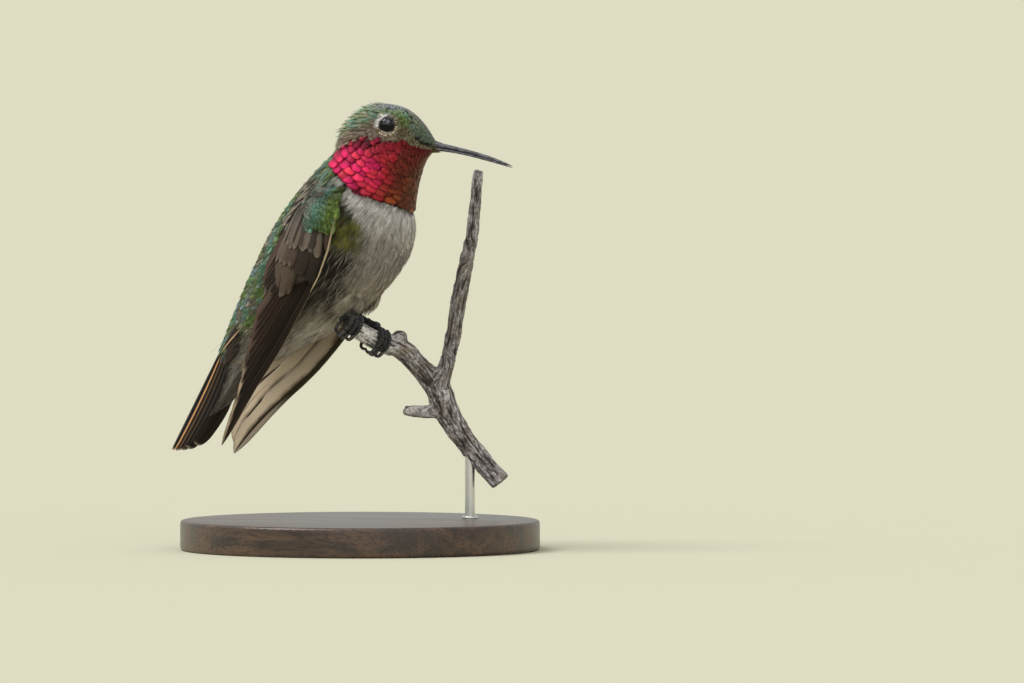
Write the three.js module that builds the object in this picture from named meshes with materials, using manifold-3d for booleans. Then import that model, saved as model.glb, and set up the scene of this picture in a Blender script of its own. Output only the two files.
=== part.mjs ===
// A male broad-tailed hummingbird perched on the end of a dead twig, life size, on a plain display stand.
//
// Frame: millimetres. +X is the way the bird's body faces, +Y its left side, +Z up. The origin is the centre
// of the stand's underside, and the bird's own middle plane is Y = 0. The head is turned a little to the
// bird's left, and the left wing droops a little lower than the right one.
//
// The body is one lofted form, parted by thin cuts into head, neck, gorget, trunk and tail coverts. Wings and
// tail are fans of thin overlapping vanes. The feet grip the perch, which a short rod carries over the base.

import * as THREE from "three";
import { mergeVertices } from "three/addons/utils/BufferGeometryUtils.js";
import Module from "manifold-3d";

const wasm = await Module();
wasm.setup();

// ------------------------------------------------------------------------------------------ driving sizes

const GAP = 0.2; // clearance between pieces that touch
const BIG = 200; // a size beyond everything, for cutting blocks

const HEAD_TURN = THREE.MathUtils.degToRad(17); // the head's turn to the bird's left
const HEAD_PIVOT_X = 2.6; // the upright axis that the head turns about

// The body's outline: the back and belly point of each section, its half width, and its share of the turn.
const BODY = [
  { at: "bill root", back: [15.6, 81.6], belly: [14.9, 79.6], half: 1.2, turn: 1 },
  { at: "chin", back: [14.1, 84.2], belly: [13.9, 78.5], half: 2.9, turn: 1 },
  { at: "forehead", back: [12.2, 86.6], belly: [13.0, 76.6], half: 4.6, turn: 1 },
  { at: "brow", back: [9.4, 88.7], belly: [12.5, 74.8], half: 5.7, turn: 1 },
  { at: "crown", back: [6.0, 89.3], belly: [12.1, 73.1], half: 6.4, turn: 1 },
  { at: "hind crown", back: [2.3, 88.8], belly: [11.8, 71.5], half: 6.9, turn: 1 },
  { at: "nape", back: [-0.9, 86.6], belly: [11.6, 70.0], half: 7.3, turn: 0.95 },
  { at: "ear", back: [-3.2, 83.6], belly: [11.5, 68.7], half: 7.6, turn: 0.8 },
  { at: "hind neck", back: [-4.9, 80.2], belly: [11.4, 67.6], half: 7.9, turn: 0.6 },
  { at: "collar", back: [-7.9, 77.0], belly: [11.5, 66.0], half: 8.3, turn: 0.35 },
  { at: "shoulder", back: [-11.9, 73.2], belly: [11.7, 63.4], half: 9.2, turn: 0.15 },
  { at: "breast", back: [-15.9, 68.4], belly: [10.8, 59.6], half: 10.1, turn: 0 },
  { at: "upper belly", back: [-19.6, 62.8], belly: [8.6, 56.0], half: 10.5, turn: 0 },
  { at: "belly", back: [-22.9, 56.6], belly: [5.1, 51.8], half: 10.2, turn: 0 },
  { at: "flank", back: [-25.7, 51.0], belly: [0.2, 47.6], half: 9.2, turn: 0 },
  { at: "vent", back: [-27.9, 46.4], belly: [-5.7, 43.6], half: 7.4, turn: 0 },
  { at: "rump", back: [-29.4, 42.9], belly: [-13.0, 40.2], half: 5.6, turn: 0 },
  { at: "tail coverts", back: [-31.4, 38.6], belly: [-20.2, 37.0], half: 4.3, turn: 0 },
  { at: "covert tips", back: [-33.9, 33.8], belly: [-30.2, 33.0], half: 1.5, turn: 0 },
];

// How finely each round form is cut: facets round it and steps along it.
const FACETS = {
  body: [18, 24],
  bill: [7, 7],
  eye: [12, 8],
  arm: [12, 8],
  underTail: [8, 5],
  thigh: [10, 6],
  tarsus: [8, 6],
  toe: [6, 6],
  claw: [5, 4],
  branch: [9, 22],
  stub: [8, 4],
  twig: [8, 12],
  knot: [10, 7],
  rod: 16,
  base: 32,
};

const EYE = { x: 6.5, z: 84.7, y: 3.76, radius: 2.2 };

const BILL = {
  root: [13.2, 81.0], // x and z, inside the feathers of the face
  tip: [31.0, 76.7],
  arch: 0.55, // how far the middle stands above the chord
  width: [2.5, 1.5, 1.1, 0.5],
  upper: [1.15, 0.8, 0.65, 0.35],
  lower: [0.95, 0.6, 0.5, 0.28],
};

// Each folded wing's leading and trailing edges from wrist to tip, at even steps, as on the right side.
// The left wing hangs a little lower and further forward than the right one.
const WINGS = {
  right: {
    lead: [
      [-0.7, -9.6, 67.0],
      [-2.9, -10.7, 56.7],
      [-8.2, -9.9, 47.7],
      [-14.0, -8.0, 39.0],
      [-20.7, -5.8, 30.7],
      [-28.5, -3.5, 21.2],
    ],
    trail: [
      [-9.7, -8.0, 67.5],
      [-13.6, -8.2, 58.5],
      [-17.2, -7.5, 50.0],
      [-20.4, -6.2, 42.0],
      [-24.0, -4.6, 33.5],
      [-28.4, -3.4, 22.2],
    ],
  },
  left: {
    lead: [
      [1.2, -9.6, 61.6],
      [-1.7, -10.7, 51.5],
      [-7.2, -9.9, 42.9],
      [-13.4, -8.3, 34.4],
      [-20.6, -6.4, 27.0],
      [-29.0, -4.4, 19.0],
    ],
    trail: [
      [-7.7, -8.2, 62.9],
      [-12.6, -8.4, 54.6],
      [-17.8, -7.9, 47.0],
      [-23.6, -7.0, 39.4],
      [-28.8, -5.9, 30.6],
      [-30.4, -4.5, 20.4],
    ],
  },
};
const WING_BULGE = 0.9; // how far the wing arches outward between its edges
const VANE_THICK = 0.55;
// Each row of flight feathers is one fan. Its feathers' tips are given along the wing, outermost first, and
// the fan's two corners at the roots and two at the tips as places across the wing.
const PRIMARIES = {
  tips: [1.0, 0.97, 0.92, 0.86, 0.8, 0.74, 0.68, 0.62, 0.56, 0.51],
  root: 0.2,
  across: { root: [0.03, 0.62], tip: [0.3, 1.0] },
  level: [0, 0.8], // how far out each side of the fan lies
  notch: 0.025, // how deep the edge dips between two tips
  steps: 6,
};
const SECONDARIES = {
  tips: [0.47, 0.45, 0.43, 0.41, 0.385, 0.36],
  root: 0.1,
  across: { root: [0.45, 0.95], tip: [0.7, 1.12] },
  level: [1.6, 1.9],
  notch: 0.025,
  steps: 4,
};
// The wing's arm with its coverts is a lens: its reach along the wing, its middle and half width across it at
// the ends and in between, and how far out it lies.
const ARM = {
  from: -0.1,
  to: 0.32,
  middle: [0.48, 0.55],
  half: [0.12, 0.54],
  thick: [0.4, 2.0],
  rise: 0.7,
  width: 9, // the wing's width here in millimetres, for clearances across it
  length: 50, // and its length, for clearances along it
};
// The body is cut back for the flight feathers over this reach along and across the wing, and this far out.
const FAN_ROOM = { from: 0.05, to: 1.05, across: 1.15, margin: 0.3, narrowest: 1.5, out: 3, steps: 8 };

const TAIL = {
  root: [-27.2, 46.0], // x and z of the ridge line's two ends
  tip: [-41.4, 19.8],
  fall: 1.5, // how steeply the two sides fall away from the ridge
  tips: [0.88, 0.93, 0.96, 0.985, 1.0, 1.0, 0.985, 0.96, 0.93, 0.88], // as a share of the ridge line
  half: [2.0, 3.4, 4.5, 4.6, 3.7], // half the fan's width, at even steps from root to tip
  notch: 0.03,
  steps: 5,
};
// The soft coverts in the hollow under the tail: their reach along it, half width, depth below the vanes, and
// half thickness.
const UNDERTAIL = {
  from: 0.22,
  to: 0.68,
  half: [2.9, 2.75, 2.2, 0.9],
  under: 0.95,
  thick: [1.7, 1.4, 1.0, 0.6],
};

const FOOT = {
  hubOut: 0.75, // the foot's middle above the bark
  clear: 0.32, // clearance over the uneven bark
  toeRadius: 0.42,
  toeSwell: [1.06, 0.88], // at and between its joints
  clawRadius: 0.3,
  clawTaper: 0.6,
};
const TARSUS = { radii: [0.7, 0.62, 0.55, 0.7], places: [0, 0.25, 0.6, 1] };
const THIGH = { radii: [1.0, 1.9, 2.9, 3.4], places: [0, 0.25, 0.5, 1] };

// Each toe: its place along the perch, the side it goes down, and the angles round the perch that it and its
// claw cover, counted from the top of the perch.
const TOES = [
  { name: "inner", along: -1.15, front: 1, toe: [30, 135], claw: [144, 196], lift: 0.5 },
  { name: "middle", along: 0, front: 1, toe: [30, 140], claw: [149, 204], lift: 0.5 },
  { name: "outer", along: 1.15, front: 1, toe: [30, 130], claw: [139, 190], lift: 0.5 },
  { name: "hind", along: 0, front: -1, toe: [30, 74], claw: [84, 136], lift: 1.1 },
];

// The perch: a route with the bark's radius at each point, from its free end to the cut end.
const BRANCH = [
  { at: [-1.6, -6.6, 46.5], radius: 1.6 },
  { at: [-0.2, -4.0, 45.0], radius: 1.8 },
  { at: [1.3, 0.0, 43.0], radius: 1.85 },
  { at: [2.5, 4.1, 41.4], radius: 1.9 },
  { at: [4.9, 7.7, 40.5], radius: 2.3 },
  { at: [8.0, 10.3, 36.6], radius: 2.15 },
  { at: [11.4, 12.5, 32.0], radius: 2.7 },
  { at: [12.9, 13.2, 27.4], radius: 2.6 },
  { at: [15.9, 14.6, 22.2], radius: 2.25 },
  { at: [19.6, 15.7, 17.4], radius: 2.15 },
  { at: [23.1, 16.8, 13.3], radius: 2.1 },
];
const KNOT = { at: [5.1, 7.6, 42.3], radius: 1.75 };
const TWIG = [
  { at: [11.9, 12.2, 33.5], radius: 2.0 },
  { at: [13.3, 12.6, 37.0], radius: 1.6 },
  { at: [14.3, 13.0, 41.8], radius: 1.55 },
  { at: [15.1, 13.2, 46.6], radius: 1.6 },
  { at: [15.9, 13.5, 51.6], radius: 1.65 },
  { at: [16.8, 13.8, 56.6], radius: 1.5 },
  { at: [18.0, 14.2, 62.2], radius: 1.35 },
  { at: [18.6, 14.4, 68.2], radius: 1.25 },
  { at: [19.3, 14.7, 75.8], radius: 1.0 },
];
const STUB = [
  { at: [12.4, 12.8, 27.6], radius: 1.5 },
  { at: [8.8, 9.8, 27.4], radius: 1.25 },
  { at: [6.2, 7.6, 27.9], radius: 1.05 },
];

const BASE = { radius: 36, height: 6, bevel: 0.9 };
const ROD = { x: 17.2, y: 15.1, radius: 1.0, foot: 3.0, top: 19.8 };

// ------------------------------------------------------------------------------------------------ helpers

const v3 = (a) => new THREE.Vector3(...a);
const mirrorY = new THREE.Matrix4().makeScale(1, -1, 1);

/** Catmull-Rom value through evenly spaced numbers, for k from 0 to 1. */
function through(values, k) {
  const last = values.length - 1;
  const t = THREE.MathUtils.clamp(k, 0, 1) * last;
  const i = Math.min(Math.floor(t), last - 1);
  const f = t - i;
  const p1 = values[i];
  const p2 = values[i + 1];
  const p0 = i > 0 ? values[i - 1] : 2 * p1 - p2;
  const p3 = i + 2 <= last ? values[i + 2] : 2 * p2 - p1;
  const squared = 2 * p0 - 5 * p1 + 4 * p2 - p3;
  const cubed = 3 * p1 - p0 - 3 * p2 + p3;
  return 0.5 * (2 * p1 + (p2 - p0) * f + squared * f * f + cubed * f ** 3);
}

/** A point of a Catmull-Rom curve through evenly spaced points, carried straight on beyond both ends. */
function along(points, k) {
  const inside = THREE.MathUtils.clamp(k, 0, 1);
  const at = (t) => new THREE.Vector3(...[0, 1, 2].map((axis) => through(points.map((p) => p[axis]), t)));
  const point = at(inside);
  if (inside === k) return point;
  const step = 0.02;
  const near = at(inside === 0 ? step : 1 - step);
  return point.addScaledVector(point.clone().sub(near), Math.abs(k - inside) / step);
}

/** A closed body made from a capped cylinder: place(a, b, k) puts each point of the unit disc's sections. */
function skinned(sides, steps, place) {
  const geometry = new THREE.CylinderGeometry(1, 1, 1, sides, steps);
  const position = geometry.getAttribute("position");
  for (let i = 0; i < position.count; i++) {
    const made = place(position.getX(i), position.getZ(i), 0.5 - position.getY(i));
    position.setXYZ(i, made.x, made.y, made.z);
  }
  return geometry;
}

/** A closed plate made from a box: place(across, lift, k) puts each point, across and lift from -1 to 1. */
function sheet(cells, steps, place) {
  const geometry = new THREE.BoxGeometry(2, 2, 1, cells, 1, steps);
  const position = geometry.getAttribute("position");
  for (let i = 0; i < position.count; i++) {
    const made = place(position.getX(i), position.getY(i), position.getZ(i) + 0.5);
    position.setXYZ(i, made.x, made.y, made.z);
  }
  return geometry;
}

/** How far a fan reaches at a place across it from -1 to 1: out at the shafts, notched between them. */
function scallop(tips, across, notch) {
  const line = Math.round((across + 1) * tips.length);
  if (line % 2) return tips[(line - 1) / 2];
  const beside = [tips[line / 2 - 1], tips[line / 2]].filter((tip) => tip !== undefined);
  return Math.min(...beside) - notch;
}

/** A manifold-3d solid from a closed geometry, whichever way its faces point. */
function solid(geometry) {
  const bare = new THREE.BufferGeometry();
  bare.setIndex(geometry.index);
  bare.setAttribute("position", geometry.getAttribute("position"));
  const merged = mergeVertices(bare, 1e-4);
  const index = new Uint32Array(merged.index.array);
  const p = merged.getAttribute("position");
  let volume = 0;
  for (let i = 0; i < index.length; i += 3) {
    const [a, b, c] = [0, 1, 2].map((n) => new THREE.Vector3().fromBufferAttribute(p, index[i + n]));
    volume += a.dot(b.cross(c));
  }
  if (volume < 0) {
    for (let i = 0; i < index.length; i += 3) [index[i + 1], index[i + 2]] = [index[i + 2], index[i + 1]];
  }
  return new wasm.Manifold(
    new wasm.Mesh({ numProp: 3, vertProperties: new Float32Array(p.array), triVerts: index }),
  );
}

/** The largest closed body of a solid, without the crumbs that a cut can leave. */
function largest(made) {
  return made.decompose().reduce((best, next) => (next.volume() > best.volume() ? next : best));
}

function geometryOf(made) {
  const mesh = made.getMesh();
  const geometry = new THREE.BufferGeometry();
  geometry.setAttribute("position", new THREE.BufferAttribute(new Float32Array(mesh.vertProperties), 3));
  geometry.setIndex(new THREE.BufferAttribute(new Uint32Array(mesh.triVerts), 1));
  const faceted = geometry.toNonIndexed();
  faceted.computeVertexNormals();
  return faceted;
}

function moved(made, matrix) {
  const geometry = geometryOf(made);
  geometry.applyMatrix4(matrix);
  return solid(geometry);
}

/** A block that fills the side of a plane that its normal points to. */
function halfSpace(point, normal) {
  const block = new THREE.BoxGeometry(BIG, BIG, BIG);
  block.translate(0, 0, BIG / 2);
  const turn = new THREE.Quaternion().setFromUnitVectors(new THREE.Vector3(0, 0, 1), v3(normal).normalize());
  block.applyQuaternion(turn);
  block.translate(...point);
  return solid(block);
}

/** Turns a point of the head about the neck, by a share of the head's whole turn. */
function headTurned(point, share = 1) {
  point.x -= HEAD_PIVOT_X;
  point.applyAxisAngle(new THREE.Vector3(0, 0, 1), HEAD_TURN * share);
  point.x += HEAD_PIVOT_X;
  return point;
}

/** A round bar along a route, with a radius at each point; grow makes it fatter and longer. */
function bar(route, sides, steps, grow = 0) {
  const curve = new THREE.CatmullRomCurve3(route.map((p) => v3(p.at)));
  const frames = curve.computeFrenetFrames(steps);
  const radii = route.map((p) => p.radius);
  return solid(
    skinned(sides, steps, (a, b, k) => {
      const n = Math.round(k * steps);
      const radius = through(radii, curve.getUtoTmapping(k)) + grow;
      const beyond = grow * ((n === steps ? 1 : 0) - (n === 0 ? 1 : 0));
      return curve
        .getPointAt(k)
        .addScaledVector(frames.tangents[n], beyond)
        .addScaledVector(frames.normals[n], a * radius)
        .addScaledVector(frames.binormals[n], b * radius);
    }),
  );
}

// --------------------------------------------------------------------------------------------------- body

function bodyPoint(side, lift, k, grow = 0) {
  const value = (read) => through(BODY.map(read), k);
  const back = new THREE.Vector3(value((s) => s.back[0]), 0, value((s) => s.back[1]));
  const belly = new THREE.Vector3(value((s) => s.belly[0]), 0, value((s) => s.belly[1]));
  const point = back.clone().add(belly).multiplyScalar(0.5);
  const height = back.distanceTo(belly);
  point.addScaledVector(back.sub(belly), (lift * (height / 2 + grow)) / height);
  point.y -= side * (value((s) => s.half) + grow);
  if (k === 1) point.z -= grow;
  return headTurned(point, value((s) => s.turn));
}

const wholeBody = solid(skinned(...FACETS.body, bodyPoint));
const bodyRoom = solid(skinned(...FACETS.body, (side, lift, k) => bodyPoint(side, lift, k, GAP)));

// Planes between the body's named parts: a point on each, and its normal.
const UNDER_FACE = { point: [6, 0, 80.4], normal: [-0.06, 0, 1] };
const UNDER_GORGET = { point: [6, 0, 69.2], normal: [0.3, 0, 1] };
const BEHIND_GORGET = { point: [-2.4, 0, 76], normal: [1, 0, 0.35] };
const BEHIND_VENT = { point: [-16, 0, 42.6], normal: [0.5, 0, 1] };

/** The part of a solid on the plane's positive side, or on its other side, half a gap away from it. */
function above(made, { point, normal }) {
  const clear = v3(point).addScaledVector(v3(normal).normalize(), GAP / 2);
  return largest(made.intersect(halfSpace(clear.toArray(), normal)));
}
function below(made, { point, normal }) {
  return above(made, { point, normal: normal.map((n) => -n) });
}

// -------------------------------------------------------------------------------------------- bill and eyes

/** One half of the closed bill, up 1 or -1: a D-shaped section that tapers along the arched chord. */
function mandible(up, grow = 0) {
  const [sides] = FACETS.bill;
  const heights = up > 0 ? BILL.upper : BILL.lower;
  const chord = new THREE.Vector2(BILL.tip[0] - BILL.root[0], BILL.tip[1] - BILL.root[1]);
  const lift = new THREE.Vector2(-chord.y, chord.x).normalize();
  return solid(
    skinned(...FACETS.bill, (a, b, k) => {
      const centre = Math.hypot(a, b) < 0.5;
      const turn = (Math.atan2(a, b) + 2 * Math.PI) % (2 * Math.PI);
      const arc = (turn / (2 * Math.PI)) * sides * (Math.PI / (sides - 1));
      const y = centre ? 0 : Math.cos(arc) * (through(BILL.width, k) / 2 + grow);
      const rise = (centre ? 0.4 : Math.sin(arc)) * (through(heights, k) + grow) + (grow ? -GAP : GAP) / 4;
      const arch = BILL.arch * 4 * k * (1 - k) + up * rise;
      const run = k - (k === 0 ? grow / chord.length() : 0);
      const x = BILL.root[0] + chord.x * run + lift.x * arch;
      const z = BILL.root[1] + chord.y * run + lift.y * arch;
      return headTurned(new THREE.Vector3(x, up * y, z));
    }),
  );
}

function eyeball(side, grow = 0) {
  const ball = new THREE.SphereGeometry(EYE.radius + grow, ...FACETS.eye);
  const centre = headTurned(new THREE.Vector3(EYE.x, side * EYE.y, EYE.z));
  ball.translate(centre.x, centre.y, centre.z);
  return solid(ball);
}

// -------------------------------------------------------------------------------------------------- wings

/** The wing's outward direction at s. */
function wingOut(wing, s) {
  const step = 0.02;
  const middle = (k) => along(wing.lead, k).add(along(wing.trail, k)).multiplyScalar(0.5);
  const forward = middle(s + step).sub(middle(s - step));
  const full = Math.min(s, 0.85);
  return along(wing.trail, full).sub(along(wing.lead, full)).cross(forward).normalize();
}

/** A point of a folded wing: along it by s, across it by c from the leading edge, and out by rise. */
function wingPoint(wing, s, c, rise) {
  const point = along(wing.lead, s).lerp(along(wing.trail, s), c);
  const bulge = WING_BULGE * 4 * c * (1 - c) * (1 - THREE.MathUtils.clamp(s, 0, 1));
  return point.addScaledVector(wingOut(wing, s), bulge + rise);
}

/** A row of flight feathers as one fan that lies on the wing. */
function wingFan(wing, { tips, root, across, level, notch, steps }) {
  return solid(
    sheet(2 * tips.length, steps, (u, lift, k) => {
      const share = (u + 1) / 2;
      const s = THREE.MathUtils.lerp(root, scallop(tips, u, notch), k);
      const from = THREE.MathUtils.lerp(...across.root, share);
      const to = THREE.MathUtils.lerp(...across.tip, 1 - (1 - share) ** 4);
      const c = THREE.MathUtils.lerp(from, to, k ** 2);
      return wingPoint(wing, s, c, THREE.MathUtils.lerp(...level, share) + (lift * VANE_THICK) / 2);
    }),
  );
}

/** The room that a wing's flight feathers take, open outward, for cutting the body back. */
function fanRoom(wing) {
  return solid(
    sheet(1, FAN_ROOM.steps, (u, lift, k) => {
      const s = THREE.MathUtils.lerp(FAN_ROOM.from, FAN_ROOM.to, k);
      const width = Math.max(along(wing.trail, s).distanceTo(along(wing.lead, s)), FAN_ROOM.narrowest);
      const margin = FAN_ROOM.margin / width;
      const c = u < 0 ? -margin : FAN_ROOM.across + margin;
      return wingPoint(wing, s, c, lift < 0 ? -VANE_THICK / 2 - GAP : FAN_ROOM.out);
    }),
  );
}

/** The wing's arm with its coverts: a lens over the roots of the flight feathers, open outward by cover. */
function wingArm(wing, grow = 0, cover = 0) {
  return solid(
    skinned(...FACETS.arm, (a, b, k) => {
      const swell = Math.sqrt(Math.max(0, 1 - Math.abs(2 * k - 1) ** 3));
      const s = THREE.MathUtils.lerp(ARM.from, ARM.to, k) + ((2 * k - 1) * grow) / ARM.length;
      const half = THREE.MathUtils.lerp(...ARM.half, swell) + grow / ARM.width;
      const thick = THREE.MathUtils.lerp(...ARM.thick, swell) + grow;
      const c = THREE.MathUtils.lerp(...ARM.middle, k) + a * half;
      return wingPoint(wing, s, c, ARM.rise + b * thick + (b > 0 ? cover : 0));
    }),
  );
}

// --------------------------------------------------------------------------------------------------- tail

const tailAxis = new THREE.Vector3(TAIL.tip[0] - TAIL.root[0], 0, TAIL.tip[1] - TAIL.root[1]);
const tailDown = new THREE.Vector3(-tailAxis.z, 0, tailAxis.x).normalize(); // towards the belly side

/** A point of the cupped tail: along its ridge line by k, sideways by y, and outward from it by rise. */
function tailPoint(k, y, rise) {
  const slope = (TAIL.fall * y) / Math.hypot(y, 1);
  const steep = Math.hypot(slope, 1);
  const point = new THREE.Vector3(TAIL.root[0], y + (rise * slope) / steep, TAIL.root[1]);
  point.addScaledVector(tailAxis, k);
  return point.addScaledVector(tailDown, TAIL.fall * (Math.hypot(y, 1) - 1) - rise / steep);
}

/** The ten tail feathers as one fan. */
function tailFan() {
  return solid(
    sheet(2 * TAIL.tips.length, TAIL.steps, (u, lift, k) => {
      const y = u * through(TAIL.half, k);
      return tailPoint(k * scallop(TAIL.tips, u, TAIL.notch), y, (lift * VANE_THICK) / 2);
    }),
  );
}

/** The long soft coverts that fill the hollow under the tail. */
function underTail() {
  return solid(
    skinned(...FACETS.underTail, (a, b, k) => {
      const place = THREE.MathUtils.lerp(UNDERTAIL.from, UNDERTAIL.to, k);
      const below = UNDERTAIL.under + through(UNDERTAIL.thick, k) * (1 - b);
      return tailPoint(place, a * through(UNDERTAIL.half, k), 0).addScaledVector(tailDown, below);
    }),
  );
}

// --------------------------------------------------------------------------------------------- legs, feet

const branchCurve = new THREE.CatmullRomCurve3(BRANCH.map((p) => v3(p.at)));

/** The perch's frame at a foot: a point on its middle line, its direction, upward and forward. */
function gripFrame(k) {
  const t = branchCurve.getUtoTmapping(k);
  const centre = branchCurve.getPoint(t);
  const axis = branchCurve.getTangent(t);
  const up = new THREE.Vector3(0, 0, 1).addScaledVector(axis, -axis.z).normalize();
  return { centre, axis, up, front: axis.clone().cross(up), radius: through(BRANCH.map((p) => p.radius), t) };
}

const FEET = [
  { side: "right", grip: gripFrame(0.05), heel: [-3.1, -4.9, 50.2], hip: [-7.4, -6.0, 55.5] },
  { side: "left", grip: gripFrame(0.215), heel: [-3.2, 4.0, 46.8], hip: [-7.4, 5.8, 52.0] },
];

/** A point beside the perch: at an angle from its top towards the toe's own side, and out from the bark. */
function roundPerch(grip, toe, degrees, out) {
  const angle = THREE.MathUtils.degToRad(degrees);
  return grip.centre
    .clone()
    .addScaledVector(grip.axis, toe.along)
    .addScaledVector(grip.up, Math.cos(angle) * (grip.radius + out))
    .addScaledVector(grip.front, toe.front * Math.sin(angle) * (grip.radius + out));
}

/** A toe, whose joints swell a little. */
function toeRoute(grip, toe) {
  return Array.from({ length: 7 }, (_, n) => ({
    at: roundPerch(grip, toe, THREE.MathUtils.lerp(...toe.toe, n / 6), FOOT.toeRadius + FOOT.clear).toArray(),
    radius: FOOT.toeRadius * FOOT.toeSwell[n % 2],
  }));
}

/** A claw, which arches away from the bark and comes back to it. */
function clawRoute(grip, toe) {
  return Array.from({ length: 5 }, (_, n) => {
    const k = n / 4;
    const out = FOOT.toeRadius + FOOT.clear + toe.lift * Math.sin(Math.PI * k);
    return {
      at: roundPerch(grip, toe, THREE.MathUtils.lerp(...toe.claw, k), out).toArray(),
      radius: FOOT.clawRadius * (1 - FOOT.clawTaper * k),
    };
  });
}

/** A straight limb between two points, with its radii at its places. */
function limbRoute(from, to, { radii, places }) {
  return radii.map((radius, n) => ({ at: from.clone().lerp(to, places[n]).toArray(), radius }));
}

function tarsusRoute({ grip, heel }) {
  return limbRoute(roundPerch(grip, TOES[1], 0, FOOT.hubOut + GAP), v3(heel), TARSUS);
}

function thighRoute({ heel, hip }) {
  return limbRoute(v3(heel), v3(hip), THIGH);
}

// -------------------------------------------------------------------------------------------------- perch

const knot = new THREE.SphereGeometry(KNOT.radius, ...FACETS.knot).translate(...KNOT.at);

function rod(grow = 0) {
  const radius = ROD.radius + grow;
  const upright = new THREE.CylinderGeometry(radius, radius, ROD.top - ROD.foot + 2 * grow, FACETS.rod);
  upright.rotateX(Math.PI / 2);
  return solid(upright.translate(ROD.x, ROD.y, (ROD.top + ROD.foot) / 2));
}

function branch(grow = 0) {
  return bar(BRANCH, ...FACETS.branch, grow)
    .add(bar(STUB, ...FACETS.stub, grow))
    .add(solid(knot));
}

// --------------------------------------------------------------------------------------------------- stand

function standBase() {
  const { radius, height, bevel } = BASE;
  const profile = [
    [0, 0],
    [radius - bevel, 0],
    [radius, bevel],
    [radius, height - bevel],
    [radius - bevel, height],
    [0, height],
  ].map((p) => new THREE.Vector2(...p));
  return new THREE.LatheGeometry(profile, FACETS.base).rotateX(Math.PI / 2);
}

// ------------------------------------------------------------------------------------------------ assembly

const COLOURS = {
  crown: [0x4f7a5c, 0.55],
  nape: [0x5f7f63, 0.6],
  gorget: [0xc2183f, 0.3],
  breast: [0xc9c4bb, 0.8],
  coverts: [0x6d7d68, 0.6],
  flight: [0x3a2c26, 0.55],
  tail: [0x2b2724, 0.5],
  bill: [0x1c1b20, 0.35],
  eye: [0x0b0a0c, 0.05],
  leg: [0x232224, 0.55],
  bark: [0x8b8279, 0.9],
  rod: [0xb9b9b4, 0.3, 1],
  base: [0x2b211b, 0.45],
};

const hummingbird = new THREE.Group();
hummingbird.name = "hummingbird_display";

function addPart(name, made, colour) {
  const [hex, roughness, metalness = 0] = COLOURS[colour];
  const material = new THREE.MeshStandardMaterial({ color: hex, roughness, metalness });
  const mesh = new THREE.Mesh(geometryOf(made), material);
  mesh.name = name;
  hummingbird.add(mesh);
}

// Wings: each is worked out as a right one, and the left one is mirrored.
let bare = wholeBody;
for (const [side, wing] of Object.entries(WINGS)) {
  const placed = (made) => (side === "left" ? moved(made, mirrorY) : made);
  const armRoom = wingArm(wing, GAP);
  const clearOfArm = (fan) => placed(largest(wingFan(wing, fan).subtract(armRoom)));
  addPart(`wing_${side}_arm`, placed(wingArm(wing)), "coverts");
  addPart(`wing_${side}_primaries`, clearOfArm(PRIMARIES), "flight");
  addPart(`wing_${side}_secondaries`, clearOfArm(SECONDARIES), "flight");
  for (const room of [armRoom, wingArm(wing, GAP, 3), fanRoom(wing)]) bare = bare.subtract(placed(room));
}

// Legs and feet.
for (const foot of FEET) {
  const thigh = bar(thighRoute(foot), ...FACETS.thigh);
  const tarsusRoom = bar(tarsusRoute(foot), ...FACETS.tarsus, GAP);
  bare = bare.subtract(bar(thighRoute(foot), ...FACETS.thigh, GAP));
  addPart(`thigh_${foot.side}`, largest(thigh.subtract(tarsusRoom)), "breast");
  addPart(`tarsus_${foot.side}`, bar(tarsusRoute(foot), ...FACETS.tarsus), "leg");
  bare = bare.subtract(tarsusRoom);
  for (const toe of TOES) {
    bare = bare.subtract(bar(toeRoute(foot.grip, toe), ...FACETS.toe, GAP));
    addPart(`toe_${foot.side}_${toe.name}`, bar(toeRoute(foot.grip, toe), ...FACETS.toe), "leg");
    addPart(`claw_${foot.side}_${toe.name}`, bar(clawRoute(foot.grip, toe), ...FACETS.claw), "bill");
  }
}

// Head, neck, gorget, trunk and tail coverts, cut apart from the one body.
for (const side of [-1, 1]) bare = bare.subtract(eyeball(side, GAP));
for (const up of [-1, 1]) bare = bare.subtract(mandible(up, GAP));
const head = above(bare, UNDER_FACE);
const throat = above(below(bare, UNDER_FACE), UNDER_GORGET);
const trunk = below(bare, UNDER_GORGET);
addPart("head", head, "crown");
addPart("gorget", above(throat, BEHIND_GORGET), "gorget");
addPart("neck", below(throat, BEHIND_GORGET), "nape");
addPart("trunk", above(trunk, BEHIND_VENT), "breast");
addPart("tail_coverts", below(trunk, BEHIND_VENT), "coverts");

addPart("bill_upper", mandible(1), "bill");
addPart("bill_lower", mandible(-1), "bill");
addPart("eye_right", eyeball(-1), "eye");
addPart("eye_left", eyeball(1), "eye");

// Tail: the fan starts where the tail coverts end.
addPart("tail", largest(tailFan().subtract(bodyRoom)), "tail");
addPart("undertail_coverts", largest(underTail().subtract(bodyRoom)), "breast");

// Perch and stand.
addPart("perch_branch", largest(branch().subtract(rod(GAP))), "bark");
addPart("perch_twig", largest(bar(TWIG, ...FACETS.twig).subtract(branch(GAP))), "bark");
addPart("stand_base", solid(standBase()).subtract(rod(GAP)), "base");
addPart("stand_rod", rod(), "rod");

export default hummingbird;
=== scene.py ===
"""The looks of a male hummingbird on a display stand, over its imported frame.

Sizes are in millimetres where a name says so or a table gives them, and `MM` turns them into the scene's
metres. The bird faces +X, its left side is +Y, and the stand's underside is the floor. The plumage is laid
on two kinds of chart: the body's, which runs from the bill (along = 0) to the tail (along = 1) and round
from the back (0 degrees) over the right side (90) to the belly (180), and each wing's, which runs from
wrist to tip and across from the leading edge.
"""

import math

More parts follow.
